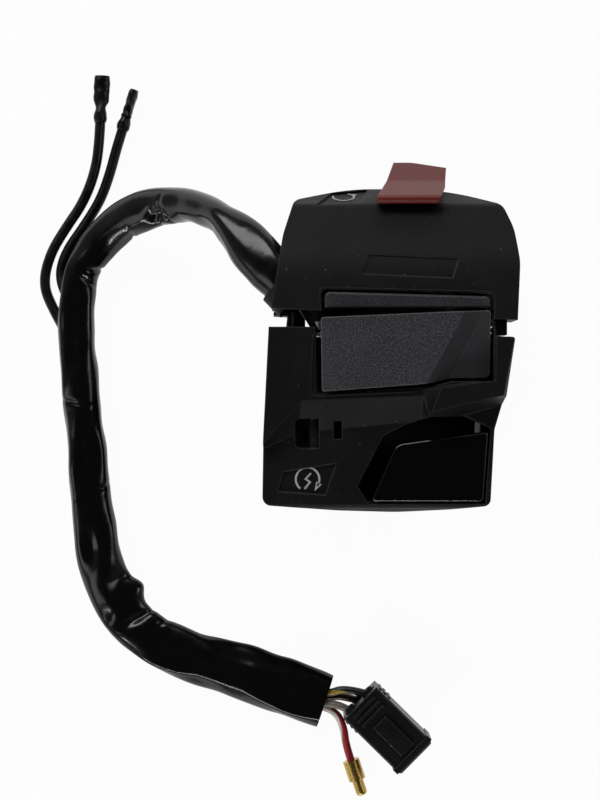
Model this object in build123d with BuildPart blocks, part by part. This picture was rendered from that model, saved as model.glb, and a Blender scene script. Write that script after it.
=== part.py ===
"""Right-hand handlebar switch cluster with its harness, in millimetres.

X runs along the bar, outboard. Y is the cluster's top. Z points out of the face that the rider sees.
The origin is on the bar's axis, where the two housing halves meet.
"""

import math
import os

from build123d import *

os.makedirs("parts", exist_ok=True)

# Driving sizes of the housing
bar_d = 22.2
body_wide = 54.0
upper_tall = 31.0
lower_tall = 39.7
front_deep = 25.0
rear_deep = 18.5
wall = 2.2
end_wall = 3.6
fit = 0.05
gap = 0.35
overrun = 70.0
bar_r = bar_d / 2

# Levels of the sculpted front, measured from the bar's axis
plate_z = 0.86 * front_deep
crease_low_z = 0.79 * front_deep
frame_z = 1.104 * front_deep
cavity_z = 0.70 * front_deep

# Housing screws, behind the bar, and their inserts
screw_d = 4.0
screw_head_d = 7.0
screw_head_tall = 2.4
screw_z = -(bar_r + rear_deep) / 2
screw_spread = 0.52 * body_wide
boss_r = 3.3
insert_d = 5.2
insert_long = 7.5
screw_long = 26.0
screw_tip_y = 11.0

# Locating lips that close the split behind the bar, beside and between the screw bosses
lip_wide = 4.0
lip_high = 4.5
lip_deep = 3.0
lip_thick = 0.75 * wall
lip_z = -rear_deep + wall + 2 * gap + lip_thick / 2
lip_inner = screw_spread / 2 - boss_r - gap
lip_outer = screw_spread / 2 + boss_r + gap
lip_spans = [(-lip_outer - lip_wide, -lip_outer), (-lip_inner, lip_inner), (lip_outer, lip_outer + lip_wide)]

# Harness
sleeve_d = 8.5
sleeve_wall = 0.8
wire_d = 1.8
lead_d = 2.4


def spread(shares, wide, high):
    """Points from shares of a width and a height."""
    return [(across * wide, up * high) for across, up in shares]


def sided(shares, tall):
    """Profile points from shares of a height and of the front or rear depth."""
    return [(up * tall, out * (front_deep if out > 0 else rear_deep)) for up, out in shares]


def level(height):
    """A plane across Y at a height, whose extrusions go down."""
    return Plane.XZ.offset(-height)


def route_radii(points):
    """The largest tangent arc that each corner of a route has room for."""
    corners = [Vector(*point) for point in points]
    radii = []
    for before, here, after in zip(corners, corners[1:], corners[2:]):
        into, out = here - before, after - here
        turn = math.radians(into.get_angle(out))
        radii.append(0.45 * min(into.length, out.length) / math.tan(turn / 2))
    return radii


def corner_radii(points, shares):
    """Radii of a closed outline's corners, as shares of the largest arc that each has room for."""
    corners = [Vector(*point) for point in points]
    radii = []
    for before, here, after, share in zip(
        corners[-1:] + corners, corners, corners[1:] + corners[:1], shares
    ):
        into, out = here - before, after - here
        turn = math.radians(into.get_angle(out))
        radii.append(share * min(into.length, out.length) / (2 * math.tan(turn / 2)))
    return radii


# Upper housing: a front outline and a side profile, crossed, hollowed from the split
upper_outline_shares = [
    (-0.463, 0.116), (-0.417, 0.632), (-0.372, 0.895), (-0.165, 0.988),
    (0.045, 1.002), (0.260, 0.972), (0.458, 0.855), (0.496, 0.681),
    (0.513, 0.439), (0.498, 0.035),
]
upper_corner_shares = [0, 0.216, 0.323, 0.92, 0.676, 1.0, 0.53, 0.568, 0.334, 0]
upper_profile_shares = [
    (0.0, -1.0), (0.77, -1.0), (0.89, -0.40), (1.0, 0.16), (0.85, 0.57),
    (0.50, 0.885), (0.0, 1.0),
]
upper_bend_shares = [0, 0.95, 0.035, 0.144, 0.204, 0.836, 0]
upper_points = spread(upper_outline_shares, body_wide, upper_tall)
upper_radii = corner_radii(upper_points, upper_corner_shares)
upper_profile = sided(upper_profile_shares, upper_tall)
upper_bends = corner_radii(upper_profile, upper_bend_shares)

# The lever's pivot and opening in the upper housing's crest
lever_y = 0.703 * upper_tall
lever_z = 0.30 * front_deep
lever_left = 0.6
lever_right = 9.8
lever_slot_low_z = 2.1
lever_slot_high_z = 10.1
lever_slot_left = lever_left - gap
lever_slot_right = lever_right + gap

# Switch base in the upper housing, under the lever
base_left = -3.4
base_right = 13.4
base_drop = 4.193
base_tall = 4.8
base_top_y = lever_y - base_drop
base_low_y = base_top_y - base_tall
base_rear_z = -1.5
base_front_z = 14.5
flange_thick = 2.0
flange_wide = 6.0
base_screw_d = 2.5
base_screw_long = 6.0
base_screw_head_d = 4.4
base_screw_head_tall = 1.5
post_r = 2.5
post_root_y = 0.9 * upper_tall
upper_posts_x = (base_left - flange_wide / 2, base_right + flange_wide / 2)

# Sleeve exit in the upper housing's left wall
exit_inside = (-19.6, 5.6, 15.4)
exit_outside = (-25.6, 11.8, 14.4)
exit_axis = Vector(*exit_outside) - Vector(*exit_inside)
grommet_wall = 0.9
grommet_r = sleeve_d / 2 + grommet_wall

# Shallow recesses in the upper front: a blank label place and the pad of the run symbol
label_shares = [(-0.110, 0.351), (0.248, 0.322), (0.272, 0.460), (-0.074, 0.487)]
run_pad_shares = [(-0.285, 0.850), (-0.222, 0.955), (-0.075, 0.985), (-0.105, 0.868)]
skin_deep = 0.35

# Trim strip and the cut-out around it
strip_left = -13.7
strip_right = 21.2
strip_low_y = 3.7
strip_high_left_y = 7.1
strip_high_right_y = 6.1
strip_thick = 1.6
strip_gap = 0.55
strip_face_z = 0.955 * front_deep
strip_seat_z = strip_face_z - strip_thick

# Locating tongue that hangs from the upper housing beside the lower one's shoulder
shoulder_share = 0.414
tongue_left = shoulder_share * body_wide + gap
tongue_right = upper_points[-1][0] - 0.8 * wall
tongue_low_y = -1.9
tongue_high_y = 2.6
tongue_rear_z = 14.0
tongue_front_z = 20.0

with BuildPart() as upper_cavity:
    with BuildSketch(Plane.XY.offset(-rear_deep + wall)):
        with BuildLine():
            FilletPolyline(*upper_points, radius=upper_radii, close=True)
        make_face()
        offset(amount=-wall, kind=Kind.INTERSECTION)
        with Locations((0, 0)):
            Rectangle(body_wide - 2 * end_wall - wall, upper_tall / 2)
    extrude(amount=overrun)
    with BuildSketch(Plane.YZ.offset(-body_wide)):
        with BuildLine():
            FilletPolyline(*upper_profile, radius=upper_bends, close=True)
        make_face()
        offset(amount=-wall, kind=Kind.INTERSECTION)
        with Locations((0, (front_deep - rear_deep) / 2)):
            Rectangle(upper_tall / 2, front_deep + rear_deep - 2 * wall - wall / 4)
    extrude(amount=overrun * 2, mode=Mode.INTERSECT)
    with BuildSketch(Plane.XY.offset(-rear_deep)):
        with Locations(((upper_points[0][0] + end_wall + upper_points[-1][0] - end_wall) / 2, 0)):
            Rectangle(upper_points[-1][0] - upper_points[0][0] - 2 * end_wall, overrun * 2)
    extrude(amount=overrun, mode=Mode.INTERSECT)

with BuildPart() as skin_recesses:
    with BuildSketch(Plane.XY.offset(bar_r)):
        Polygon(*spread(label_shares, body_wide, upper_tall), align=None)
    extrude(amount=overrun)
    with BuildSketch(Plane.XY.offset(lever_slot_low_z)):
        Polygon(*spread(run_pad_shares, body_wide, upper_tall), align=None)
    extrude(amount=overrun)
    with BuildSketch(Plane.YZ.offset(-body_wide)):
        with BuildLine():
            FilletPolyline(*upper_profile, radius=upper_bends, close=True)
        make_face()
        offset(amount=-skin_deep, kind=Kind.INTERSECTION)
        with Locations((0, (front_deep - rear_deep) / 2)):
            Rectangle(upper_tall / 2, front_deep + rear_deep - wall)
    extrude(amount=overrun * 2, mode=Mode.SUBTRACT)

with BuildPart() as upper_housing:
    with BuildSketch(Plane.XY.offset(-rear_deep)):
        with BuildLine():
            FilletPolyline(*upper_points, radius=upper_radii, close=True)
        make_face()
    extrude(amount=overrun)
    with BuildSketch(Plane.YZ.offset(-body_wide)):
        with BuildLine():
            FilletPolyline(*upper_profile, radius=upper_bends, close=True)
        make_face()
    extrude(amount=overrun * 2, mode=Mode.INTERSECT)
    add(upper_cavity.part, mode=Mode.SUBTRACT)
    # Bosses for the housing screws and posts for the switch base
    with BuildSketch(level(screw_tip_y + wall)):
        with Locations(*[(side * screw_spread / 2, screw_z) for side in (-1, 1)]):
            Circle(boss_r)
    extrude(amount=screw_tip_y - 2 * fit)
    with BuildSketch(level(post_root_y)):
        with Locations(*[(x, lever_z) for x in upper_posts_x]):
            Circle(post_r)
    extrude(amount=post_root_y - base_top_y)
    # Bar, lever opening, trim cut-out
    with BuildSketch(Plane.YZ.offset(-body_wide)):
        Circle(bar_r)
    extrude(amount=overrun * 2, mode=Mode.SUBTRACT)
    with BuildSketch(Plane.XY.offset(lever_slot_low_z)):
        with Locations(((lever_slot_left + lever_slot_right) / 2, upper_tall)):
            Rectangle(lever_slot_right - lever_slot_left, upper_tall / 2)
    extrude(amount=lever_slot_high_z - lever_slot_low_z, mode=Mode.SUBTRACT)
    with BuildSketch(Plane.XY.offset(strip_seat_z)):
        with BuildLine():
            FilletPolyline(
                (strip_left - 2 * gap, -upper_tall),
                (strip_left - 2 * gap, strip_high_left_y + strip_gap),
                (strip_right + 2 * gap, strip_high_right_y + strip_gap),
                (strip_right + 2 * gap, -upper_tall),
                radius=[0, wall / 2, wall / 2, 0],
                close=True,
            )
        make_face()
    extrude(amount=overrun, mode=Mode.SUBTRACT)
    with BuildSketch(Plane.XY.offset(bar_r)):
        with Locations(((strip_left + strip_right) / 2, 0)):
            Rectangle(strip_right - strip_left + 4 * gap, 2 * (strip_low_y - gap))
    extrude(amount=overrun, mode=Mode.SUBTRACT)
    add(skin_recesses.part, mode=Mode.SUBTRACT)
    # Sleeve exit through the left wall, open to the split
    with BuildSketch(Plane(origin=exit_inside, z_dir=exit_axis)):
        Circle(grommet_r)
    extrude(amount=exit_axis.length + wall, mode=Mode.SUBTRACT)
    with BuildSketch(Plane.YZ.offset(-body_wide / 2 - wall)):
        with Locations((exit_inside[1], (exit_inside[2] + exit_outside[2]) / 2)):
            Rectangle(2 * exit_inside[1], 2 * grommet_r - wall)
    extrude(amount=end_wall + 2 * wall, mode=Mode.SUBTRACT)
    with BuildSketch(level(tongue_high_y)):
        with Locations(((tongue_left + tongue_right) / 2, (tongue_rear_z + tongue_front_z) / 2)):
            Rectangle(tongue_right - tongue_left, tongue_front_z - tongue_rear_z)
    extrude(amount=tongue_high_y - tongue_low_y)
    # Holes for the inserts and the base screws
    with BuildSketch(level(screw_tip_y)):
        with Locations(*[(side * screw_spread / 2, screw_z) for side in (-1, 1)]):
            Circle(insert_d / 2)
    extrude(amount=upper_tall, mode=Mode.SUBTRACT)
    with BuildSketch(level(base_top_y + base_screw_long - flange_thick + wall / 4)):
        with Locations(*[(x, lever_z) for x in upper_posts_x]):
            Circle(base_screw_d / 2)
    extrude(amount=base_screw_long, mode=Mode.SUBTRACT)

upper_housing.part.label = "upper_housing"
export_step(upper_housing.part, "parts/upper_housing.step")
print("upper", len(upper_housing.part.solids()), upper_housing.part.volume)

# Lower housing: base body, sloped step under the mode key, raised frame on its outboard side
lower_outline_shares = [
    (-0.472, -gap / lower_tall), (-0.494, -0.605), (-0.498, -0.958), (-0.20, -0.990),
    (0.03, -1.0), (0.24, -0.984), (0.397, -0.962), (0.413, -0.554),
    (0.450, -0.385), (0.484, -0.066), (shoulder_share, -0.056),
    (0.411, -gap / lower_tall),
]
lower_corner_shares = [
    0, 0.12, 0.253, 0.183, 0.376, 0.266, 0.325, 0.11, 0.067, 0.355, 0.284, 0.316,
]
lower_profile_shares = [
    (0.0, -1.0), (-0.52, -1.0), (-0.90, -0.28), (-0.985, 0.20), (-1.0, 0.72),
    (-0.965, 0.86), (0.0, 0.86),
]
lower_bend_shares = [0, 0.373, 0.9, 0.307, 0.181, 0.43, 0]
step_low_shares = [
    (-0.52, 0.02), (-0.52, -0.675), (-0.37, -0.660), (0.120, -0.575),
    (0.165, -0.560), (0.47, -0.43), (0.52, 0.02),
]
step_high_shares = [
    (-0.52, 0.02), (-0.52, -0.668), (-0.345, -0.400), (0.128, -0.375),
    (0.150, -0.466), (0.45, -0.380), (0.52, 0.02),
]
frame_low_shares = [
    (0.128, -0.337), (0.404, -0.292), (0.409, -0.063), (0.50, -0.063),
    (0.46, -0.380), (0.150, -0.466),
]
frame_high_shares = [
    (0.198, -0.332), (0.404, -0.292), (0.409, -0.063), (0.48, -0.063),
    (0.438, -0.372), (0.160, -0.460),
]
lower_points = spread(lower_outline_shares, body_wide, lower_tall)
lower_radii = corner_radii(lower_points, lower_corner_shares)
lower_profile = sided(lower_profile_shares, lower_tall)
lower_bends = corner_radii(lower_profile, lower_bend_shares)

# Mode key and the recess around it
mode_key_shares = [
    (-0.265, -0.353), (0.136, -0.312), (0.241, -0.280), (0.389, -0.280),
    (0.393, 0.079), (-0.269, 0.040),
]
mode_key_points = spread(mode_key_shares, body_wide, lower_tall)
mode_gap = 0.70
mode_top_z = 1.06 * front_deep
mode_low_z = 0.98 * front_deep
mode_back_z = 0.80 * front_deep
mode_axis_y = -0.045 * lower_tall
mode_axis_z = 0.768 * front_deep
mode_pin_d = 1.6
mode_barrel_r = 1.7
mode_fold_shares = ((0.283, 0.068), (0.136, -0.312), (0.365, 0.063))
mode_side_gap = 1.1
mode_recess_points = [
    (x - mode_side_gap + mode_gap if x < mode_key_points[0][0] + gap else x, y)
    for x, y in mode_key_points
]

# Starter key and the deep well around it
starter_key_shares = [
    (0.026, -0.632), (0.389, -0.563), (0.369, -0.940), (-0.072, -0.940),
]
starter_well_shares = [
    (-0.024, -0.590), (0.061, -0.529), (0.159, -0.488), (0.296, -0.483),
    (0.398, -0.548), (0.377, -0.951), (-0.080, -0.951), (-0.124, -0.857),
]
starter_key_points = spread(starter_key_shares, body_wide, lower_tall)
starter_key_corner_shares = (0.05, 0.012, 0.02, 0.012)
starter_face_z = 0.88 * front_deep
starter_thick = 3.2
starter_x = 0.16 * body_wide
starter_clear = 0.9
starter_travel = 1.8
stem_d = 6.0
plate_top_z = 14.5
plate_thick = 2.0
barrel_r = 6.5
barrel_low_z = 4.6
starter_y = wall + starter_clear + barrel_r - lower_tall
chamber_r = 4.6
chamber_roof_z = 11.2
bridge_r = 4.0
bridge_thick = 0.8
bridge_z = 9.2
stem_low_z = bridge_z + bridge_thick + fit
starter_plate_shares = [
    (-0.25, -0.89), (0.34, -0.89), (0.352, -0.358), (0.278, -0.358),
    (0.24, -0.418), (-0.022, -0.418), (-0.022, -0.52), (-0.25, -0.66),
]
starter_posts = spread([(-0.204, -0.775), (0.02, -0.468), (0.317, -0.408)], body_wide, lower_tall)

# Circuit board behind the mode key
board_thick = 1.2
board_z = bar_r + 1.4
board_top_z = board_z + board_thick
board_shares = [
    (-0.38, -0.36), (-0.148, -0.36), (-0.148, -0.453), (-0.037, -0.453),
    (-0.037, -0.36), (0.26, -0.36), (0.26, -0.04), (-0.38, -0.04),
]
board_posts = spread([(-0.341, -0.113), (-0.341, -0.302), (-0.0925, -0.411)], body_wide, lower_tall)
board_post_r = 1.9
board_screw_d = 2.0
board_screw_head_d = 3.6
board_screw_long = 4.4

# Small sculpted details of the lower front
pocket_left = -20.0
pocket_right = -14.9
pocket_top_y = -19.6
pocket_low_y = -26.0
bump_r = 1.2
bump_x = -15.9
slot_x = -10.9
slot_wide = 1.7
slot_top_y = -20.2
slot_long = 3.8
pocket_deep = 2.4
bump_z = plate_z - 0.6 * pocket_deep
pad_shares = [(-0.438, -0.885), (-0.416, -0.780), (-0.208, -0.735), (-0.250, -0.905)]
pad_deep = 0.5

with BuildPart() as lower_cavity:
    with BuildSketch(Plane.XY.offset(-rear_deep + wall)):
        with BuildLine():
            FilletPolyline(*lower_points, radius=lower_radii, close=True)
        make_face()
        offset(amount=-wall, kind=Kind.INTERSECTION)
        Rectangle(body_wide, lower_tall / 2)
    extrude(amount=rear_deep - wall + cavity_z)
    with BuildSketch(Plane.YZ.offset(-body_wide)):
        with BuildLine():
            FilletPolyline(*lower_profile, radius=lower_bends, close=True)
        make_face()
        offset(amount=-wall, kind=Kind.INTERSECTION)
        with Locations((0, (cavity_z - rear_deep + wall) / 2)):
            Rectangle(lower_tall / 2, cavity_z + rear_deep - wall)
    extrude(amount=overrun * 2, mode=Mode.INTERSECT)
    with BuildSketch(Plane.XY.offset(-rear_deep)):
        with Locations(((lower_points[0][0] + lower_points[-1][0]) / 2, 0)):
            Rectangle(lower_points[-1][0] - lower_points[0][0] - 2 * end_wall + wall, overrun * 2)
    extrude(amount=overrun, mode=Mode.INTERSECT)

with BuildPart() as lower_housing:
    with BuildSketch(Plane.YZ.offset(-body_wide)):
        with BuildLine():
            FilletPolyline(*lower_profile, radius=lower_bends, close=True)
        make_face()
    extrude(amount=overrun * 2)
    add(lower_cavity.part, mode=Mode.SUBTRACT)
    # Sloped step from the plate's level up to the frame around the mode key
    with BuildSketch(Plane.XY.offset(crease_low_z)):
        Polygon(*spread(step_low_shares, body_wide, lower_tall), align=None)
    with BuildSketch(Plane.XY.offset(front_deep)):
        Polygon(*spread(step_high_shares, body_wide, lower_tall), align=None)
    loft(ruled=True)
    with BuildSketch(Plane.XY.offset(front_deep)):
        Polygon(*spread(frame_low_shares, body_wide, lower_tall), align=None)
    with BuildSketch(Plane.XY.offset(frame_z)):
        Polygon(*spread(frame_high_shares, body_wide, lower_tall), align=None)
    loft(ruled=True)
    with BuildSketch(Plane.XY.offset(-rear_deep)):
        with BuildLine():
            FilletPolyline(*lower_points, radius=lower_radii, close=True)
        make_face()
    extrude(amount=overrun, mode=Mode.INTERSECT)
    # Posts for the starter base and the board, bosses for the housing screws
    with BuildSketch(Plane.XY.offset(plate_top_z)):
        with Locations(*starter_posts):
            Circle(post_r)
    extrude(amount=cavity_z - plate_top_z)
    with BuildSketch(Plane.XY.offset(board_top_z)):
        with Locations(*board_posts):
            Circle(board_post_r)
    extrude(amount=cavity_z - board_top_z)
    with BuildSketch(level(-gap)):
        with Locations(*[(side * screw_spread / 2, screw_z) for side in (-1, 1)]):
            Circle(boss_r)
    extrude(amount=bar_r + wall)
    for lip_from, lip_to in lip_spans:
        with BuildSketch(level(lip_high)):
            with Locations(((lip_from + lip_to) / 2, lip_z)):
                Rectangle(lip_to - lip_from, lip_thick)
        extrude(amount=lip_high + lip_deep)
        with BuildSketch(level(-gap)):
            with Locations(((lip_from + lip_to) / 2, lip_z - wall / 2)):
                Rectangle(lip_to - lip_from, lip_thick)
        extrude(amount=lip_deep)
    # Bar, key recesses
    with BuildSketch(Plane.YZ.offset(-body_wide)):
        Circle(bar_r)
    extrude(amount=overrun * 2, mode=Mode.SUBTRACT)
    with BuildSketch(Plane.XY.offset(bar_r - gap)):
        with BuildLine():
            Polyline(*mode_recess_points, close=True)
        make_face()
        offset(amount=mode_gap, kind=Kind.INTERSECTION)
    extrude(amount=overrun, mode=Mode.SUBTRACT)
    with BuildSketch(Plane.XY.offset(cavity_z - wall / 4)):
        Polygon(*spread(starter_well_shares, body_wide, lower_tall), align=None)
    extrude(amount=overrun, mode=Mode.SUBTRACT)
    # Pocket with its half-round bump, slot, and the pad of the starter symbol
    with BuildSketch(Plane.XY.offset(plate_z - pocket_deep)):
        with BuildLine():
            FilletPolyline(
                (pocket_right, pocket_top_y), (pocket_left, pocket_top_y),
                (pocket_left, pocket_low_y), (pocket_right, pocket_low_y),
                radius=[0, bump_r, bump_r, 0],
                close=True,
            )
        make_face()
        with Locations((slot_x, slot_top_y - slot_long / 2)):
            Rectangle(slot_wide, slot_long)
    extrude(amount=overrun, mode=Mode.SUBTRACT)
    with BuildSketch(level(pocket_top_y)):
        with Locations((bump_x, bump_z)):
            Circle(bump_r)
    extrude(amount=pocket_top_y - pocket_low_y)
    with BuildSketch(Plane.XY.offset(plate_z - pad_deep)):
        Polygon(*spread(pad_shares, body_wide, lower_tall), align=None)
    extrude(amount=overrun, mode=Mode.SUBTRACT)
    # Hinge pin holes, screw holes and their counterbores
    with BuildSketch(Plane.YZ.offset(mode_key_points[0][0] - 2 * wall)):
        with Locations((mode_axis_y, mode_axis_z)):
            Circle(mode_pin_d / 2 + fit)
    extrude(amount=mode_key_points[3][0] - mode_key_points[0][0] + 3.5 * wall, mode=Mode.SUBTRACT)
    with BuildSketch(level(0)):
        with Locations(*[(side * screw_spread / 2, screw_z) for side in (-1, 1)]):
            Circle(screw_d / 2 + gap / 2)
    extrude(amount=overrun, mode=Mode.SUBTRACT)
    with BuildSketch(level(screw_tip_y - screw_long)):
        with Locations(*[(side * screw_spread / 2, screw_z) for side in (-1, 1)]):
            Circle(screw_head_d / 2 + gap)
    extrude(amount=overrun, mode=Mode.SUBTRACT)
    with BuildSketch(Plane.XY.offset(plate_top_z)):
        with Locations(*starter_posts):
            Circle(base_screw_d / 2)
    extrude(amount=base_screw_long - plate_thick + wall / 4, mode=Mode.SUBTRACT)
    with BuildSketch(Plane.XY.offset(board_top_z)):
        with Locations(*board_posts):
            Circle(board_screw_d / 2)
    extrude(amount=board_screw_long - board_thick + wall / 4, mode=Mode.SUBTRACT)

lower_housing.part.label = "lower_housing"
export_step(lower_housing.part, "parts/lower_housing.step")
print("lower", len(lower_housing.part.solids()), lower_housing.part.volume)

# Trim strip, clipped into the upper housing's cut-out
with BuildPart() as upper_trim_strip:
    with BuildSketch(Plane.XY.offset(strip_seat_z)):
        with BuildLine():
            FilletPolyline(
                (strip_left, strip_low_y),
                (strip_left, strip_high_left_y),
                (strip_right, strip_high_right_y),
                (strip_right, strip_low_y),
                radius=[0, wall / 2, wall / 2, 0],
                close=True,
            )
        make_face()
    extrude(amount=strip_thick)
    chamfer(upper_trim_strip.faces().sort_by(Axis.Z)[-1].edges(), length=strip_thick / 5)
upper_trim_strip.part.label = "upper_trim_strip"
export_step(upper_trim_strip.part, "parts/upper_trim_strip.step")

# Stop lever: a saddle for the thumb on a neck, a hub on the pin and an arm into the slider
lever_saddle_shares = [
    (0.848, 0.648), (0.856, 0.704), (0.900, 0.712), (1.029, 0.432),
    (1.184, 0.204), (1.168, 0.112), (1.065, 0.128), (1.036, 0.215),
    (0.995, 0.370), (0.930, 0.440),
]
lever_front_shares = [
    (-0.037, 0.83), (0.193, 0.83), (0.230, 0.972), (0.244, 1.136), (0.036, 1.20), (0.0, 1.03),
    (-0.045, 0.893),
]
lever_neck_low_z = 5.0
lever_neck_high_z = 9.6
lever_neck_top_y = 1.05 * upper_tall
hub_r = 3.2
lever_pin_d = 2.0
arm_left = 3.3
arm_right = 5.3
arm_thick = 1.4
arm_sunk = 1.7
arm_tip_y = base_top_y - arm_sunk

with BuildPart() as stop_lever:
    with BuildSketch(Plane.YZ.offset(-body_wide)):
        Polygon(*sided(lever_saddle_shares, upper_tall), align=None)
    extrude(amount=overrun * 2)
    with BuildSketch(Plane.XY):
        Polygon(*spread(lever_front_shares, body_wide, upper_tall), align=None)
    extrude(amount=overrun, mode=Mode.INTERSECT)
    chamfer(stop_lever.edges().filter_by(Axis.X), length=skin_deep)
    with BuildSketch(Plane.YZ.offset(lever_left)):
        with Locations(((lever_y + lever_neck_top_y) / 2, (lever_neck_low_z + lever_neck_high_z) / 2)):
            Rectangle(lever_neck_top_y - lever_y, lever_neck_high_z - lever_neck_low_z)
        with Locations((lever_y, lever_z)):
            Circle(hub_r)
    extrude(amount=lever_right - lever_left)
    with BuildSketch(Plane.YZ.offset(arm_left)):
        with Locations(((lever_y + arm_tip_y) / 2, lever_z)):
            Rectangle(lever_y - arm_tip_y, arm_thick)
    extrude(amount=arm_right - arm_left)
    with BuildSketch(Plane.YZ.offset(lever_left)):
        with Locations((lever_y, lever_z)):
            Circle(lever_pin_d / 2 + fit)
    extrude(amount=lever_right - lever_left, mode=Mode.SUBTRACT)
stop_lever.part.label = "stop_lever"
export_step(stop_lever.part, "parts/stop_lever.step")

with BuildPart() as stop_lever_pin:
    with BuildSketch(Plane.YZ.offset(base_left + fit)):
        with Locations((lever_y, lever_z)):
            Circle(lever_pin_d / 2)
    extrude(amount=base_right - base_left - 2 * fit)
stop_lever_pin.part.label = "stop_lever_pin"
export_step(stop_lever_pin.part, "parts/stop_lever_pin.step")

# Stop switch base: a block with two ears for the pin, a channel for the slider and two flanges
ear_high_y = 0.787 * upper_tall
ear_half = 2.9
slider_left = 2.2
slider_right = 6.4
slider_tall = 2.6
slider_sunk = 0.6
slider_top_y = base_top_y - slider_sunk
slider_low_y = slider_top_y - slider_tall
slider_half = 3.6
notch_half = 1.0
notch_deep = 1.4
notch_low_y = slider_top_y - notch_deep
strip_low = base_low_y + wall / 3
bridge_tall = 0.5
ball_d = 2.4
ball_x = 8.3
ball_y = lever_y - hub_r - ball_d / 2 - fit
detent_bore_r = ball_d / 2 + fit
detent_wire_d = 0.3
channel_floor_y = slider_low_y - bridge_tall - fit
contact_wide = 0.9
contact_tall = 0.4
contact_xs = (slider_left + contact_wide, slider_right - contact_wide)

with BuildPart() as stop_switch_base:
    with BuildSketch(level(base_top_y)):
        with Locations(((base_left + base_right) / 2, (base_rear_z + base_front_z) / 2)):
            Rectangle(base_right - base_left, base_front_z - base_rear_z)
    extrude(amount=base_top_y - base_low_y)
    with BuildSketch(level(base_top_y)):
        with Locations(((base_left + base_right) / 2, lever_z)):
            Rectangle(base_right - base_left + 2 * flange_wide, 2 * post_r)
    extrude(amount=flange_thick)
    for ear_from, ear_to in ((base_left, lever_left - gap), (lever_right + gap, base_right)):
        with BuildSketch(Plane.YZ.offset(ear_from)):
            with Locations(((base_top_y + ear_high_y) / 2, lever_z)):
                Rectangle(ear_high_y - base_top_y, 2 * ear_half)
        extrude(amount=ear_to - ear_from)
    with BuildSketch(level(base_top_y)):
        with Locations(((slider_left + slider_right) / 2, lever_z)):
            Rectangle(slider_right - slider_left + 4 * fit, base_front_z - base_rear_z - wall)
    extrude(amount=base_top_y - channel_floor_y + contact_tall, mode=Mode.SUBTRACT)
    with BuildSketch(level(base_top_y)):
        with Locations((ball_x, lever_z)):
            Circle(detent_bore_r)
    extrude(amount=base_top_y - strip_low, mode=Mode.SUBTRACT)
    with BuildSketch(Plane.YZ.offset(base_left)):
        with Locations((lever_y, lever_z)):
            Circle(lever_pin_d / 2 + fit)
    extrude(amount=base_right - base_left, mode=Mode.SUBTRACT)
    with BuildSketch(level(base_top_y)):
        with Locations(*[(x, lever_z) for x in upper_posts_x]):
            Circle(base_screw_d / 2 + fit)
    extrude(amount=flange_thick, mode=Mode.SUBTRACT)
    with BuildSketch(Plane.XY.offset(base_front_z - wall)):
        with Locations(*[(x, channel_floor_y - contact_tall / 2) for x in contact_xs]):
            Rectangle(contact_wide + 2 * fit, contact_tall + 2 * fit)
    extrude(amount=wall, mode=Mode.SUBTRACT)
stop_switch_base.part.label = "stop_switch_base"
export_step(stop_switch_base.part, "parts/stop_switch_base.step")

# Slider that the lever's arm drives, with the bridge under it
with BuildPart() as stop_contact_slider:
    with BuildSketch(Plane.YZ.offset(slider_left)):
        with Locations(((slider_low_y + slider_top_y) / 2, lever_z)):
            Rectangle(slider_top_y - slider_low_y, 2 * slider_half)
        with Locations(((slider_top_y + notch_low_y) / 2, lever_z)):
            Rectangle(slider_top_y - notch_low_y, 2 * notch_half, mode=Mode.SUBTRACT)
    extrude(amount=slider_right - slider_left)
stop_contact_slider.part.label = "stop_contact_slider"
export_step(stop_contact_slider.part, "parts/stop_contact_slider.step")

with BuildPart() as stop_contact_bridge:
    with BuildSketch(level(slider_low_y)):
        with Locations(((slider_left + slider_right) / 2, lever_z)):
            Rectangle(slider_right - slider_left, slider_half)
    extrude(amount=bridge_tall)
stop_contact_bridge.part.label = "stop_contact_bridge"
export_step(stop_contact_bridge.part, "parts/stop_contact_bridge.step")

contact_tail = 2.4
with BuildPart() as stop_contact_strips:
    with BuildSketch(Plane.XY.offset(base_rear_z + wall)):
        with Locations(*[(x, channel_floor_y - contact_tall / 2) for x in contact_xs]):
            Rectangle(contact_wide, contact_tall)
    extrude(amount=base_front_z - base_rear_z - wall + contact_tail)
stop_contact_strips.part.label = "stop_contact_strips"
export_step(stop_contact_strips.part, "parts/stop_contact_strips.step")

with BuildPart() as stop_detent_ball:
    with Locations((ball_x, ball_y, lever_z)):
        Sphere(ball_d / 2)
stop_detent_ball.part.label = "stop_detent_ball"
export_step(stop_detent_ball.part, "parts/stop_detent_ball.step")


def coil_base(origin, direction, radius, wire, tall, turns, name):
    """A compression spring: a round wire on a helix, from its seat along its direction."""
    with BuildPart() as spring:
        with BuildLine():
            path = Helix(
                pitch=(tall - wire) / turns,
                height=tall - wire,
                radius=radius - wire / 2,
                center=Vector(*origin) + Vector(*direction) * (wire / 2),
                direction=direction,
            )
        with BuildSketch(Plane(origin=path @ 0, z_dir=path % 0)):
            Circle(wire / 2)
        sweep(path=path, is_frenet=True)
    spring.part.label = name
    export_step(spring.part, f"parts/{name}.step")
    return spring.part


coil_base(
    (ball_x, strip_low, lever_z), (0, 1, 0), ball_d / 2 - fit, detent_wire_d,
    ball_y - ball_d / 2 - strip_low, 4, "stop_detent_spring",
)

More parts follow.
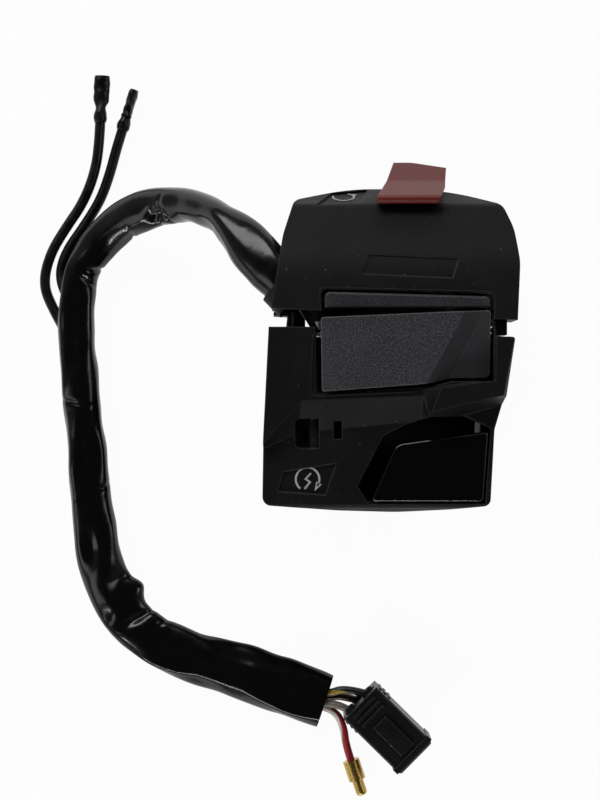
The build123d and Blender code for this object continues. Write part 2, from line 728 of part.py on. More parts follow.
# Starter key: a glossy plate on a stem, with its spring, base, bridge and contacts
with BuildPart() as starter_key:
    with BuildSketch(Plane.XY.offset(starter_face_z - starter_thick)):
        with BuildLine():
            FilletPolyline(
                *starter_key_points,
                radius=[share * body_wide for share in starter_key_corner_shares],
                close=True,
            )
        make_face()
    extrude(amount=starter_thick)
    fillet(starter_key.faces().sort_by(Axis.Z)[-1].edges(), radius=starter_thick / 6)
    with BuildSketch(Plane.XY.offset(stem_low_z)):
        with Locations((starter_x, starter_y)):
            Circle(stem_d / 2)
    extrude(amount=starter_face_z - starter_thick - stem_low_z)
starter_key.part.label = "starter_key"
export_step(starter_key.part, "parts/starter_key.step")

with BuildPart() as starter_switch_base:
    with BuildSketch(Plane.XY.offset(plate_top_z - plate_thick)):
        Polygon(*spread(starter_plate_shares, body_wide, lower_tall), align=None)
    extrude(amount=plate_thick)
    with BuildSketch(Plane.XY.offset(barrel_low_z)):
        with Locations((starter_x, starter_y)):
            Circle(barrel_r)
    extrude(amount=plate_top_z - barrel_low_z)
    with BuildSketch(Plane.XY.offset(barrel_low_z)):
        with Locations((starter_x, starter_y)):
            Circle(stem_d / 2 + fit)
    extrude(amount=overrun, mode=Mode.SUBTRACT)
    with BuildSketch(Plane.XY.offset(barrel_low_z)):
        with Locations((starter_x, starter_y)):
            Circle(chamber_r)
    extrude(amount=chamber_roof_z - barrel_low_z, mode=Mode.SUBTRACT)
    with BuildSketch(Plane.XY.offset(plate_top_z - plate_thick)):
        with Locations(*starter_posts):
            Circle(base_screw_d / 2 + fit)
    extrude(amount=overrun, mode=Mode.SUBTRACT)
starter_switch_base.part.label = "starter_switch_base"
export_step(starter_switch_base.part, "parts/starter_switch_base.step")

spring_wire_d = 0.6
coil_base(
    (starter_x, starter_y, plate_top_z + fit), (0, 0, 1), stem_d / 2 + wall / 2, spring_wire_d,
    starter_face_z - starter_thick - plate_top_z - 2 * fit, 4, "starter_return_spring",
)

with BuildPart() as starter_contact_bridge:
    with BuildSketch(Plane.XY.offset(bridge_z)):
        with Locations((starter_x, starter_y)):
            Circle(bridge_r)
    extrude(amount=bridge_thick)
    with BuildSketch(Plane.XY.offset(bridge_z + bridge_thick)):
        with Locations((starter_x, starter_y)):
            Circle(stem_d / 4)
    extrude(amount=fit)
starter_contact_bridge.part.label = "starter_contact_bridge"
export_step(starter_contact_bridge.part, "parts/starter_contact_bridge.step")

# Two contact angles at the open end of the starter base
contact_top_z = bridge_z - starter_travel - fit
angle_wide = 2.0
angle_thick = 0.5
angle_reach = 2.6
with BuildPart() as starter_contacts:
    for side in (-1, 1):
        with BuildSketch(Plane.XY.offset(contact_top_z - angle_thick)):
            with Locations((starter_x + side * (chamber_r - angle_reach / 2 - 2 * fit), starter_y)):
                Rectangle(angle_reach, angle_wide)
        extrude(amount=angle_thick)
        with BuildSketch(Plane.XY.offset(barrel_low_z - angle_reach)):
            with Locations((starter_x + side * (chamber_r - angle_thick / 2 - 2 * fit), starter_y)):
                Rectangle(angle_thick, angle_wide)
        extrude(amount=contact_top_z - barrel_low_z + angle_reach)
starter_contacts.part.label = "starter_contacts"
export_step(starter_contacts.part, "parts/starter_contacts.step")

# Mode key: three facets on a block with a hinge barrel along its upper edge
fold_low = Vector(mode_fold_shares[1][0] * body_wide, mode_fold_shares[1][1] * lower_tall)
fold_high = Vector(mode_fold_shares[0][0] * body_wide, mode_fold_shares[0][1] * lower_tall)
fold_far = Vector(mode_fold_shares[2][0] * body_wide, mode_fold_shares[2][1] * lower_tall)
fold_along = (fold_high - fold_low).normalized()
fold_across = Vector(fold_along.Y, -fold_along.X)
band_wide = (fold_far - fold_high).dot(fold_across)
fold_plane = Plane(
    origin=(fold_low.X, fold_low.Y, 0), x_dir=fold_across, z_dir=fold_across.cross(Vector(0, 0, 1)),
)
pusher_wide = 2.6
pusher_y = -0.215 * lower_tall
pusher_x = 0.02 * body_wide
tact_side = 6.0
plunger_r = 1.6
plunger_tall = 1.1
pusher_tall = 1.35
pusher_low_z = mode_back_z - pusher_tall
tact_tall = pusher_low_z - fit - plunger_tall - board_top_z
barrel_left = mode_key_points[0][0] + wall / 4
barrel_right = mode_key_points[3][0] - wall / 4
with BuildPart() as mode_key:
    with BuildSketch(Plane.XY.offset(mode_back_z)):
        with BuildLine():
            FilletPolyline(
                *mode_key_points,
                radius=[wall / 4, wall, wall, wall / 2, wall / 4, wall / 4],
                close=True,
            )
        make_face()
    extrude(amount=mode_top_z - mode_back_z)
    with BuildSketch(fold_plane.offset(-body_wide)):
        Polygon(
            (0, mode_top_z), (band_wide, mode_low_z), (body_wide, mode_low_z),
            (body_wide, mode_top_z + wall), (0, mode_top_z + wall), align=None,
        )
    extrude(amount=2 * body_wide, mode=Mode.SUBTRACT)
    with BuildSketch(Plane.YZ.offset(barrel_left)):
        with Locations((mode_axis_y, mode_axis_z)):
            Circle(mode_barrel_r)
    extrude(amount=barrel_right - barrel_left)
    with BuildSketch(Plane.YZ.offset(mode_key_points[0][0])):
        with Locations((mode_axis_y, mode_axis_z)):
            Circle(mode_pin_d / 2 + fit)
    extrude(amount=body_wide, mode=Mode.SUBTRACT)
    with BuildSketch(Plane.XY.offset(pusher_low_z)):
        with Locations((pusher_x, pusher_y)):
            Rectangle(pusher_wide, pusher_wide)
    extrude(amount=mode_back_z - pusher_low_z)
mode_key.part.label = "mode_key"
export_step(mode_key.part, "parts/mode_key.step")

pin_left = mode_key_points[0][0] - 2 * wall + fit
pin_right = mode_key_points[3][0] + 0.6 * wall
with BuildPart() as mode_key_pin:
    with BuildSketch(Plane.YZ.offset(pin_left)):
        with Locations((mode_axis_y, mode_axis_z)):
            Circle(mode_pin_d / 2)
    extrude(amount=pin_right - pin_left)
mode_key_pin.part.label = "mode_key_pin"
export_step(mode_key_pin.part, "parts/mode_key_pin.step")

mode_spring_x = 0.20 * body_wide
coil_base(
    (mode_spring_x, pusher_y, board_top_z + fit), (0, 0, 1), wall, spring_wire_d,
    mode_back_z - board_top_z - 2 * fit, 4, "mode_return_spring",
)

with BuildPart() as mode_tact_switch:
    with BuildSketch(Plane.XY.offset(board_top_z)):
        with Locations((pusher_x, pusher_y)):
            Rectangle(tact_side, tact_side)
    extrude(amount=tact_tall)
    chamfer(mode_tact_switch.faces().sort_by(Axis.Z)[-1].edges(), length=tact_tall / 10)
    with BuildSketch(Plane.XY.offset(board_top_z + tact_tall - plunger_tall)):
        with Locations((pusher_x, pusher_y)):
            Circle(plunger_r + fit)
    extrude(amount=plunger_tall, mode=Mode.SUBTRACT)
mode_tact_switch.part.label = "mode_tact_switch"
export_step(mode_tact_switch.part, "parts/mode_tact_switch.step")

with BuildPart() as mode_tact_plunger:
    with BuildSketch(Plane.XY.offset(board_top_z + tact_tall - plunger_tall / 3)):
        with Locations((pusher_x, pusher_y)):
            Circle(plunger_r)
    extrude(amount=4 * plunger_tall / 3)
mode_tact_plunger.part.label = "mode_tact_plunger"
export_step(mode_tact_plunger.part, "parts/mode_tact_plunger.step")

with BuildPart() as circuit_board:
    with BuildSketch(Plane.XY.offset(board_z)):
        Polygon(*spread(board_shares, body_wide, lower_tall), align=None)
        with Locations(*board_posts):
            Circle(board_screw_d / 2 + fit, mode=Mode.SUBTRACT)
    extrude(amount=board_thick)
circuit_board.part.label = "circuit_board"
export_step(circuit_board.part, "parts/circuit_board.step")

# Fasteners
def screw(plane, d, long, head_d, head_tall):
    """A pan head screw: its head's bearing face lies on the plane, its shank points along it."""
    with BuildPart() as one:
        with BuildSketch(plane):
            Circle(d / 2 - fit)
        extrude(amount=long)
        with BuildSketch(plane):
            Circle(head_d / 2)
        extrude(amount=-head_tall)
        outer_face = one.faces().sort_by(Axis(plane.origin, plane.z_dir))[0]
        fillet(outer_face.edges(), radius=head_tall / 3)
        with BuildSketch(plane.offset(-head_tall)):
            Rectangle(head_d / 2, head_tall / 3)
            Rectangle(head_tall / 3, head_d / 2)
        extrude(amount=head_tall / 2, mode=Mode.SUBTRACT)
    return one.part


def grouped(solids, name):
    """Identical fasteners in one node."""
    group = Compound(label=name, children=solids)
    export_step(group, f"parts/{name}.step")
    return group


up_y = Vector(0, 1, 0)
screw_head_y = screw_tip_y - screw_long
housing_screws = grouped([
    screw(
        Plane(origin=(side * screw_spread / 2, screw_head_y, screw_z), z_dir=up_y),
        screw_d, screw_long, screw_head_d, screw_head_tall,
    )
    for side in (-1, 1)
], "housing_screws")
switch_base_screws = grouped([
    screw(
        Plane(origin=(x, base_top_y - flange_thick, lever_z), z_dir=up_y),
        base_screw_d, base_screw_long, base_screw_head_d, base_screw_head_tall,
    )
    for x in upper_posts_x
] + [
    screw(
        Plane(origin=(x, y, plate_top_z - plate_thick), z_dir=(0, 0, 1)),
        base_screw_d, base_screw_long, base_screw_head_d, base_screw_head_tall,
    )
    for x, y in starter_posts
], "switch_base_screws")
board_screws = grouped([
    screw(
        Plane(origin=(x, y, board_z), z_dir=(0, 0, 1)),
        board_screw_d, board_screw_long, board_screw_head_d, board_thick,
    )
    for x, y in board_posts
], "board_screws")

with BuildPart() as thread_inserts:
    with BuildSketch(level(screw_tip_y)):
        with Locations(*[(side * screw_spread / 2, screw_z) for side in (-1, 1)]):
            Circle(insert_d / 2 - fit / 2)
            Circle(screw_d / 2, mode=Mode.SUBTRACT)
    extrude(amount=insert_long)
thread_inserts.part.label = "thread_inserts"
export_step(thread_inserts.part, "parts/thread_inserts.step")

# Harness sleeve: out of the left wall, over an arch, round two bends on the bench
sleeve_z = -rear_deep + sleeve_d / 2
sleeve_route = [
    exit_inside, exit_outside, (-31.2, 17.9, 11.2), (-36.3, 23.3, 6.4), (-41.6, 27.0, 0.6),
    (-47.9, 28.7, -5.0), (-54.8, 27.6, -9.6), (-61.4, 24.5, -12.8), (-66.2, 19.6, sleeve_z),
    (-69.7, 13.2, sleeve_z), (-70.7, 6.0, sleeve_z), (-70.4, -2.4, sleeve_z),
    (-69.5, -11.6, sleeve_z), (-68.6, -23.0, sleeve_z), (-67.5, -35.4, sleeve_z),
    (-66.1, -47.2, sleeve_z), (-63.9, -57.4, sleeve_z), (-59.8, -65.4, sleeve_z),
    (-53.2, -71.0, sleeve_z), (-43.6, -75.2, sleeve_z), (-33.4, -78.3, sleeve_z),
    (-23.5, -81.9, sleeve_z), (-13.1, -85.3, sleeve_z),
]


def tube(route, d, bore=0.0):
    """A round tube along straight runs joined by tangent arcs."""
    with BuildPart() as one:
        with BuildLine():
            path = FilletPolyline(*route, radius=route_radii(route))
        with BuildSketch(Plane(origin=path @ 0, z_dir=path % 0)):
            Circle(d / 2)
            if bore:
                Circle(bore / 2, mode=Mode.SUBTRACT)
        sweep(path=path)
    section = math.pi * (d * d - bore * bore) / 4
    least = min(route_radii(route)) / d
    print(f"tube {path.length:.1f} mm, least radius {least:.1f} d, "
          f"volume share {one.part.volume / section / path.length:.4f}")
    return one.part


# Two brake switch leads that leave the sleeve through slits in its side
lead_z = -rear_deep + lead_d / 2
lead_a_route = [
    (-71.2, -8.0, -14.6), (-72.4, -1.0, -15.3), (-76.0, 5.0, -16.8), (-78.6, 11.0, lead_z),
    (-77.0, 18.0, lead_z), (-73.4, 24.0, lead_z), (-69.5, 29.6, lead_z), (-66.9, 35.8, lead_z),
    (-65.6, 42.2, lead_z), (-65.3, 48.6, lead_z),
]
lead_b_route = [
    (-70.9, 1.0, -13.8), (-72.0, 6.6, -15.0), (-74.8, 12.6, -16.9), (-73.4, 18.4, lead_z),
    (-69.0, 24.6, lead_z), (-65.2, 30.6, lead_z), (-62.9, 37.2, lead_z), (-61.6, 42.3, lead_z),
    (-60.2, 46.8, lead_z),
]
sleeve_bore = sleeve_d - 2 * sleeve_wall
lead_slit_d = 2.85
with BuildPart() as harness_sleeve:
    add(tube(sleeve_route, sleeve_d, sleeve_bore))
    add(tube(lead_a_route[:5], lead_slit_d), mode=Mode.SUBTRACT)
    add(tube(lead_b_route[:5], lead_slit_d), mode=Mode.SUBTRACT)
harness_sleeve.part.label = "harness_sleeve"
export_step(harness_sleeve.part, "parts/harness_sleeve.step")
print("sleeve solids", len(harness_sleeve.part.solids()))

grommet_long = exit_axis.length - end_wall
with BuildPart() as cable_grommet:
    with BuildSketch(Plane(origin=exit_inside, z_dir=exit_axis)):
        Circle(grommet_r - fit)
        Circle(sleeve_d / 2 + fit, mode=Mode.SUBTRACT)
    extrude(amount=grommet_long)
cable_grommet.part.label = "cable_grommet"
export_step(cable_grommet.part, "parts/cable_grommet.step")

# Terminals of the leads: blades inside vinyl boots, one lying flat and one on its edge
boot_neck_d = 2.4
boot_bulge_d = 3.0
boot_wide = 3.7
boot_thick = 2.3
blade_wide = 2.8
blade_thick = 0.8
boot_shares = (0.27, 0.46, 1.0)
boots = (
    ("a", lead_a_route, 10.9, boot_wide, boot_thick),
    ("b", lead_b_route, 9.7, boot_thick, boot_wide),
)
for name, route, long, wide, tall in boots:
    start = Vector(*route[-1])
    run = start - Vector(*route[-2])
    seat = Plane(origin=start, x_dir=Vector(run.Y, -run.X), z_dir=run)
    bulge_up = (boot_bulge_d - lead_d) / 2
    tab_up = (tall - lead_d) / 2
    neck_at, tab_at, tip_at = [share * long for share in boot_shares]
    is_flat = wide > tall
    blade_size = (blade_wide, blade_thick) if is_flat else (blade_thick, blade_wide)
    with BuildPart() as boot:
        with BuildSketch(seat):
            with Locations((0, bulge_up)):
                Circle(boot_bulge_d / 2)
        extrude(amount=neck_at)
        with BuildSketch(seat.offset(neck_at)):
            with Locations((0, bulge_up)):
                Circle(boot_neck_d / 2)
        with BuildSketch(seat.offset(tab_at)):
            with Locations((0, tab_up)):
                Ellipse(wide / 2, tall / 2)
        loft()
        with BuildSketch(seat.offset(tab_at)):
            with Locations((0, tab_up)):
                Ellipse(wide / 2, tall / 2)
        extrude(amount=tip_at - tab_at)
        with BuildSketch(seat.offset(tab_at)):
            with Locations((0, tab_up)):
                Rectangle(blade_size[0] + 2 * fit, blade_size[1] + 2 * fit)
        extrude(amount=tip_at - tab_at, mode=Mode.SUBTRACT)
    boot.part.label = f"terminal_boot_{name}"
    export_step(boot.part, f"parts/terminal_boot_{name}.step")
    with BuildPart() as blade:
        with BuildSketch(seat.offset(tab_at)):
            with Locations((0, tab_up)):
                Rectangle(*blade_size)
        extrude(amount=tip_at - tab_at - skin_deep)
    blade.part.label = f"spade_terminal_{name}"
    export_step(blade.part, f"parts/spade_terminal_{name}.step")
for name, route in (("brake_lead_a", lead_a_route), ("brake_lead_b", lead_b_route)):
    lead = tube(route, lead_d)
    lead.label = name
    export_step(lead, f"parts/{name}.step")

# Connector on the bench, turned from the bar's line, with wire cavities in its rear face
connector_wide = 10.5
connector_tall = 10.5
connector_long = 18.0
connector_turn = -44.6
connector_rear = (-5.2, -84.75, -rear_deep + connector_tall / 2)
cavity_side = 3.4
cavity_deep = 5.0
pin_deep = 1.9
pin_side = 1.2
latch_wide = 4.0
latch_thick = 1.3
latch_long = 9.0
connector_along = Vector(1, 0, 0).rotate(Axis.Z, connector_turn)
connector_plane = Plane(
    origin=connector_rear, x_dir=connector_along.cross(Vector(0, 0, -1)), z_dir=connector_along,
)
connector_cavities = [(2.9, 1.4), (0.0, -2.4), (-2.9, 1.0)]
with BuildPart() as connector_shell:
    with BuildSketch(connector_plane):
        RectangleRounded(connector_wide, connector_tall, wall / 4)
    extrude(amount=connector_long)
    chamfer(connector_shell.edges().group_by(Axis(connector_rear, connector_along))[-1], length=wall / 4)
    with BuildSketch(connector_plane):
        with Locations(*connector_cavities):
            Rectangle(cavity_side, cavity_side)
    extrude(amount=cavity_deep, mode=Mode.SUBTRACT)
    with BuildSketch(connector_plane):
        with Locations(*connector_cavities):
            Rectangle(pin_side + 2 * fit, pin_side + 2 * fit)
    extrude(amount=connector_long, mode=Mode.SUBTRACT)
    with BuildSketch(connector_plane.offset(connector_long / 3)):
        with Locations((0, connector_tall / 2)):
            Rectangle(latch_wide + 2 * fit, latch_thick)
    extrude(amount=latch_long, mode=Mode.SUBTRACT)
connector_shell.part.label = "connector_shell"
export_step(connector_shell.part, "parts/connector_shell.step")

with BuildPart() as connector_latch:
    with BuildSketch(connector_plane.offset(connector_long / 3)):
        with Locations((0, (connector_tall - latch_thick) / 2 + latch_thick / 2)):
            Rectangle(latch_wide, latch_thick - 2 * fit)
    extrude(amount=latch_long - fit)
connector_latch.part.label = "connector_latch"
export_step(connector_latch.part, "parts/connector_latch.step")

with BuildPart() as connector_terminals:
    with BuildSketch(connector_plane.offset(pin_deep)):
        with Locations(*connector_cavities):
            Rectangle(pin_side, pin_side)
    extrude(amount=connector_long - pin_deep - wall)
connector_terminals.part.label = "connector_terminals"
export_step(connector_terminals.part, "parts/connector_terminals.step")

# Four harness wires, from inside the sleeve's open end
wire_routes = {
    "wire_black_yellow": [
        (-41.4, -73.9, -13.4), (-32.9, -76.7, -13.4), (-22.9, -80.4, -13.4), (-12.7, -83.8, -13.3),
        (-8.6, -81.7, -12.8), (-2.3, -83.55, -11.9),
    ],
    "wire_grey": [
        (-42.1, -76.0, -13.2), (-33.5, -78.6, -13.2), (-23.6, -82.3, -13.2), (-13.2, -85.7, -13.1),
        (-9.9, -85.7, -12.8), (-6.4, -87.65, -12.3),
    ],
    "wire_brown": [
        (-41.8, -75.0, -15.4), (-33.2, -77.6, -15.4), (-23.3, -81.3, -15.4), (-12.9, -84.7, -15.4),
        (-9.2, -84.0, -15.5), (-4.35, -85.6, -15.65),
    ],
    "wire_red": [
        (-42.4, -77.1, -15.0), (-33.8, -79.5, -15.0), (-24.0, -83.2, -15.0), (-13.5, -86.6, -15.0),
        (-10.3, -88.1, -15.3), (-8.7, -91.8, -16.0), (-8.3, -95.6, -16.55), (-7.1, -99.2, -16.55),
    ],
}
for name, route in wire_routes.items():
    wire = tube(route, wire_d)
    wire.label = name
    export_step(wire, f"parts/{name}.step")

# Bullet terminal on the red wire
bullet_d = 3.9
bullet_long = 8.5
bullet_sleeve_long = 4.7
bullet_end = Vector(*wire_routes["wire_red"][-1])
bullet_run = bullet_end - Vector(*wire_routes["wire_red"][-2])
bullet_plane = Plane(origin=bullet_end, z_dir=bullet_run)
with BuildPart() as bullet_terminal:
    with BuildSketch(bullet_plane):
        Circle(bullet_d / 2)
    extrude(amount=bullet_sleeve_long)
    with BuildSketch(bullet_plane):
        Circle(bullet_d / 3)
    extrude(amount=bullet_long)
    fillet(bullet_terminal.edges().group_by(Axis(bullet_end, bullet_run))[-1], radius=bullet_d / 5)
bullet_terminal.part.label = "bullet_terminal"
export_step(bullet_terminal.part, "parts/bullet_terminal.step")

# Leads inside the housing, from the sleeve to the strips, the board and the starter contacts
inner_d = 1.4
tail_x = contact_xs[0] - contact_wide / 2 - inner_d / 10
angle_x = starter_x - chamber_r + 2 * fit - inner_d / 10
inner_routes = [
    [
        (-20.6, 8.66, 14.45), (-18.55, 6.52, 14.8), (-11.5, 6.8, 17.2), (-4.5, 11.2, 17.2),
        (tail_x, 13.65, 15.9),
    ],
    [
        (-21.78, 7.86, 16.44), (-19.71, 5.72, 16.79), (-16.6, 0.9, 16.6), (-14.2, -3.0, 16.2),
        (-13.2, -4.6, 15.2), (-13.2, -4.6, board_top_z + fit),
    ],
    [
        (-22.72, 6.66, 14.65), (-20.65, 4.52, 15.0), (-21.4, -1.5, 15.0), (-21.65, -8.0, 15.0),
        (-21.65, -15.2, 14.2), (-17.6, -22.0, 10.2), (-10.6, -27.0, 6.0), (-4.6, -29.6, 3.6),
        (angle_x, starter_y, 3.2),
    ],
]
inner_leads = grouped([tube(route, inner_d) for route in inner_routes], "inner_leads")
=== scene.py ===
# %% [markdown]
# # A handlebar switch cluster, dressed for its portrait
# The real object is the right-hand switch block of a motorbike: two black moulded shells that
# clamp a 22 mm handlebar, three keys for the thumb, and a vinyl sleeve full of wires. The
# engineering model is loaded first and never moved. Everything that a moulding machine can't
# make straight, such as the creased sleeve, is then worked out here as a surface.

# %% Load the engineering model
import math

import bpy
import numpy as np
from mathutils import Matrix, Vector
from mathutils.bvhtree import BVHTree


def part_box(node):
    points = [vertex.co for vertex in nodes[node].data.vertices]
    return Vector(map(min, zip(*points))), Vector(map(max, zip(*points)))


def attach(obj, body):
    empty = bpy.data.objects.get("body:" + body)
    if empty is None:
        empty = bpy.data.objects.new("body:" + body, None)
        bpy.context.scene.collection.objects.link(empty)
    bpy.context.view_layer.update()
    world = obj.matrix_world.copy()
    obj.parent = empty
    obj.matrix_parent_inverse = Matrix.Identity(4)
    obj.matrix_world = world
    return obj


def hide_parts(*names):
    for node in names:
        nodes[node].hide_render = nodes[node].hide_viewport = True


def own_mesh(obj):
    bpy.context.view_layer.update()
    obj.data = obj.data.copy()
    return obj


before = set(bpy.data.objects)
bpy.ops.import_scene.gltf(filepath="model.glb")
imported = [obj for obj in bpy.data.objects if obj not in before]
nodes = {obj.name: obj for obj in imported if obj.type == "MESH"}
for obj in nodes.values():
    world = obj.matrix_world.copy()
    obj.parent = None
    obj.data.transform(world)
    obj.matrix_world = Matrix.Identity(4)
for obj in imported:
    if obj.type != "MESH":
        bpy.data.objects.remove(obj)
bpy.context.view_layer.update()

MM = 0.001

# %% [markdown]
# ## Camera
# The photograph looks straight down at the cluster, which lies on its back. One millimetre at
# the housing's face is 4.8 pixels wide there, and that fixes how far away the lens is.

# %% Put the camera over the bench
FRAME_TALL_PX = 800
SENSOR = 36.0
PIXEL_MM = 0.21
REACH_MM = 400.0
VIEW_CENTRE = (-18.9, -15.75)
FACE_Z = 25.0

camera_data = bpy.data.cameras.new("bench_camera")
camera_data.sensor_fit = "VERTICAL"
camera_data.sensor_height = SENSOR
camera_data.lens = SENSOR / FRAME_TALL_PX * REACH_MM / PIXEL_MM
camera = bpy.data.objects.new("bench_camera", camera_data)
camera.location = (VIEW_CENTRE[0] * MM, VIEW_CENTRE[1] * MM, (FACE_Z + REACH_MM) * MM)
bpy.context.scene.collection.objects.link(camera)
bpy.context.scene.camera = camera
bpy.context.scene.view_settings.view_transform = "Standard"
print("lens", round(camera_data.lens, 1), "mm")

# %% [markdown]
# ## Colour and node helpers
# A designer writes colours as sRGB hex, while the renderer adds light in linear numbers, so one
# function turns the first into the second. One more adds a shader node with its settings.


# %% Colour and node helpers
def linear(code):
    """sRGB hex to linear: each channel is divided by 12.92 near black, else raised to 2.4."""
    parts = np.array([int(code[i:i + 2], 16) for i in (1, 3, 5)]) / 255
    values = np.where(parts <= 0.04045, parts / 12.92, ((parts + 0.055) / 1.055) ** 2.4)
    return (*[float(v) for v in values], 1.0)


def add_node(tree, kind, settings=None, inputs=None):
    """Adds a node, sets its properties, and fills or links its inputs."""
    made = tree.nodes.new(kind)
    for name, value in (settings or {}).items():
        setattr(made, name, value)
    for name, value in (inputs or {}).items():
        if isinstance(value, bpy.types.NodeSocket):
            tree.links.new(value, made.inputs[name])
        else:
            made.inputs[name].default_value = value
    return made


def new_material(name):
    """An empty node material: its tree, and its object coordinates in metres."""
    material = bpy.data.materials.new(name)
    material.use_nodes = True
    tree = material.node_tree
    tree.nodes.clear()
    place = add_node(tree, "ShaderNodeTexCoord").outputs["Object"]
    return material, tree, place


print("black ABS in linear light", [round(v, 4) for v in linear("#131315")])

# %% [markdown]
# ## Moulded plastic
# Nearly all of the cluster is injection moulded. The tool's walls are spark eroded, which leaves
# a fine grain of about a quarter of a millimetre, and the outer edges are rounded by the tool and
# polished by gloves. So the material has a grain in its bump, faint blotches from handling, and a
# mask of the edges, found by comparing the face's normal with one that a bevel would give it.
# The pale colour on that mask is partly wear and partly a painted highlight along the edges.


# %% Moulded plastic
PLASTIC_IOR = 1.53
NOISE_BAND = {"From Min": 0.3, "From Max": 0.7}  # nearly all values of a noise lie in here
BLOTCH_MM = 9
DUST_MM = 0.5
SLANT = 0.55


def moulded(name, colour, worn_and_highlit, rough, grain_mm=0.25, grain_deep_mm=0.012, edge_mm=0.45,
            wear_and_highlight=0.6, speck_and_glint=None, speck_and_glint_mm=0.5, speck_and_glint_share=0.5, sheen=0.5, smooth_and_shaded_past=None,
            dust=0.0):
    """Moulded plastic: grain of grain_mm in the bump, pale edges, specks and dust if asked.

    The edge mask is the face's normal dotted with a bevel's, which is 1 on flat ground and less
    at an edge; the pale colour it lays on is partly wear and partly a painted highlight. Light
    specks are real flecks in some plastics and painted glints in others. Past the line
    x - SLANT y at the given millimetres, the face is smooth and the specks fade, which paints that
    side darker, as if in shade.
    """
    material, tree, place = new_material(name)
    grain = add_node(tree, "ShaderNodeTexNoise", inputs={
        "Vector": place, "Scale": 1 / (grain_mm * MM), "Detail": 2.0, "Roughness": 0.6,
    })
    blotch = add_node(tree, "ShaderNodeTexNoise", inputs={
        "Vector": place, "Scale": 1 / (BLOTCH_MM * MM), "Detail": 4.0, "Roughness": 0.65,
    })
    rounded = add_node(tree, "ShaderNodeBevel", {"samples": 6}, {"Radius": edge_mm * MM})
    flat = add_node(tree, "ShaderNodeNewGeometry").outputs["Normal"]
    near = add_node(tree, "ShaderNodeVectorMath", {"operation": "DOT_PRODUCT"}, {
        0: rounded.outputs[0], 1: flat,
    })
    # Pale edges: partly wear, partly a painted highlight along the rounded edges
    edge = add_node(tree, "ShaderNodeMapRange", inputs={
        "Value": near.outputs["Value"], "From Min": 0.995, "From Max": 0.86,
        "To Min": 0.0, "To Max": wear_and_highlight,
    })
    tone = add_node(tree, "ShaderNodeMapRange", inputs={
        "Value": blotch.outputs["Fac"], **NOISE_BAND, "To Min": 0.86, "To Max": 1.14,
    })
    base = add_node(tree, "ShaderNodeMix", {"data_type": "RGBA", "blend_type": "MULTIPLY"}, {
        "Factor": 1.0, 6: linear(colour),
    })
    tree.links.new(tone.outputs["Result"], base.inputs[7])
    shade = base.outputs[2]
    # Light specks: real flecks in some plastics, painted glints of pit rims in the etched nylon
    if speck_and_glint:
        dots = add_node(tree, "ShaderNodeTexNoise", inputs={
            "Vector": place, "Scale": 1 / (speck_and_glint_mm * MM), "Detail": 3.0, "Roughness": 0.75,
        })
        mask = add_node(tree, "ShaderNodeMapRange", inputs={
            "Value": dots.outputs["Fac"], "From Min": 0.47, "From Max": 0.68,
            "To Min": 0.0, "To Max": speck_and_glint_share,
        })
        # Past a slanting line the specks fade: that side is smooth, and painted darker, as if in
        # shade
        if smooth_and_shaded_past:
            aslant = add_node(tree, "ShaderNodeVectorMath", {"operation": "DOT_PRODUCT"}, {
                0: place, 1: (1.0, -SLANT, 0.0),
            })
            fading = add_node(tree, "ShaderNodeMapRange", inputs={
                "Value": aslant.outputs["Value"], "From Min": (smooth_and_shaded_past - 0.15) * MM,
                "From Max": (smooth_and_shaded_past + 0.15) * MM, "To Min": speck_and_glint_share, "To Max": 0.12,
            })
            tree.links.new(fading.outputs["Result"], mask.inputs["To Max"])
        specked_and_glinted = add_node(tree, "ShaderNodeMix", {"data_type": "RGBA"}, {
            "Factor": mask.outputs["Result"], 6: shade, 7: linear(speck_and_glint),
        })
        shade = specked_and_glinted.outputs[2]
    if dust:
        grains = add_node(tree, "ShaderNodeTexNoise", inputs={
            "Vector": place, "Scale": 1 / (DUST_MM * MM), "Detail": 0.0,
        })
        specks = add_node(tree, "ShaderNodeMapRange", inputs={
            "Value": grains.outputs["Fac"], "From Min": 0.82, "From Max": 0.90,
            "To Min": 0.0, "To Max": dust,
        })
        dusted = add_node(tree, "ShaderNodeMix", {"data_type": "RGBA"}, {
            "Factor": specks.outputs["Result"], 6: shade, 7: linear("#9a9a96"),
        })
        shade = dusted.outputs[2]
    # The edges take the pale colour: partly wear, partly a painted highlight
    worn_and_highlit_mix = add_node(tree, "ShaderNodeMix", {"data_type": "RGBA"}, {
        "Factor": edge.outputs["Result"], 6: shade, 7: linear(worn_and_highlit),
    })
    roughness = add_node(tree, "ShaderNodeMapRange", inputs={
        "Value": blotch.outputs["Fac"], **NOISE_BAND,
        "To Min": rough * 0.86, "To Max": rough * 1.12,
    })
    bump = add_node(tree, "ShaderNodeBump", inputs={
        "Strength": 1.0, "Distance": grain_deep_mm * MM, "Height": grain.outputs["Fac"],
        "Normal": rounded.outputs[0],
    })
    shader = add_node(tree, "ShaderNodeBsdfPrincipled", inputs={
        "Base Color": worn_and_highlit_mix.outputs[2], "Roughness": roughness.outputs["Result"],
        "Normal": bump.outputs[0], "IOR": PLASTIC_IOR, "Specular IOR Level": sheen,
    })
    add_node(tree, "ShaderNodeOutputMaterial", inputs={"Surface": shader.outputs["BSDF"]})
    return material


# %% The plastics of the cluster
# ABS moulded in a spark-eroded tool: an even, nearly matt black with paler edges, partly polish
# and partly a painted highlight, and a few specks of dust, drawn larger than real ones so that
# they show
shell_black = moulded("spark_eroded_black_abs", "#131315", "#3e3e41", 0.52, wear_and_highlight=0.7,
                      sheen=0.12, dust=0.3)
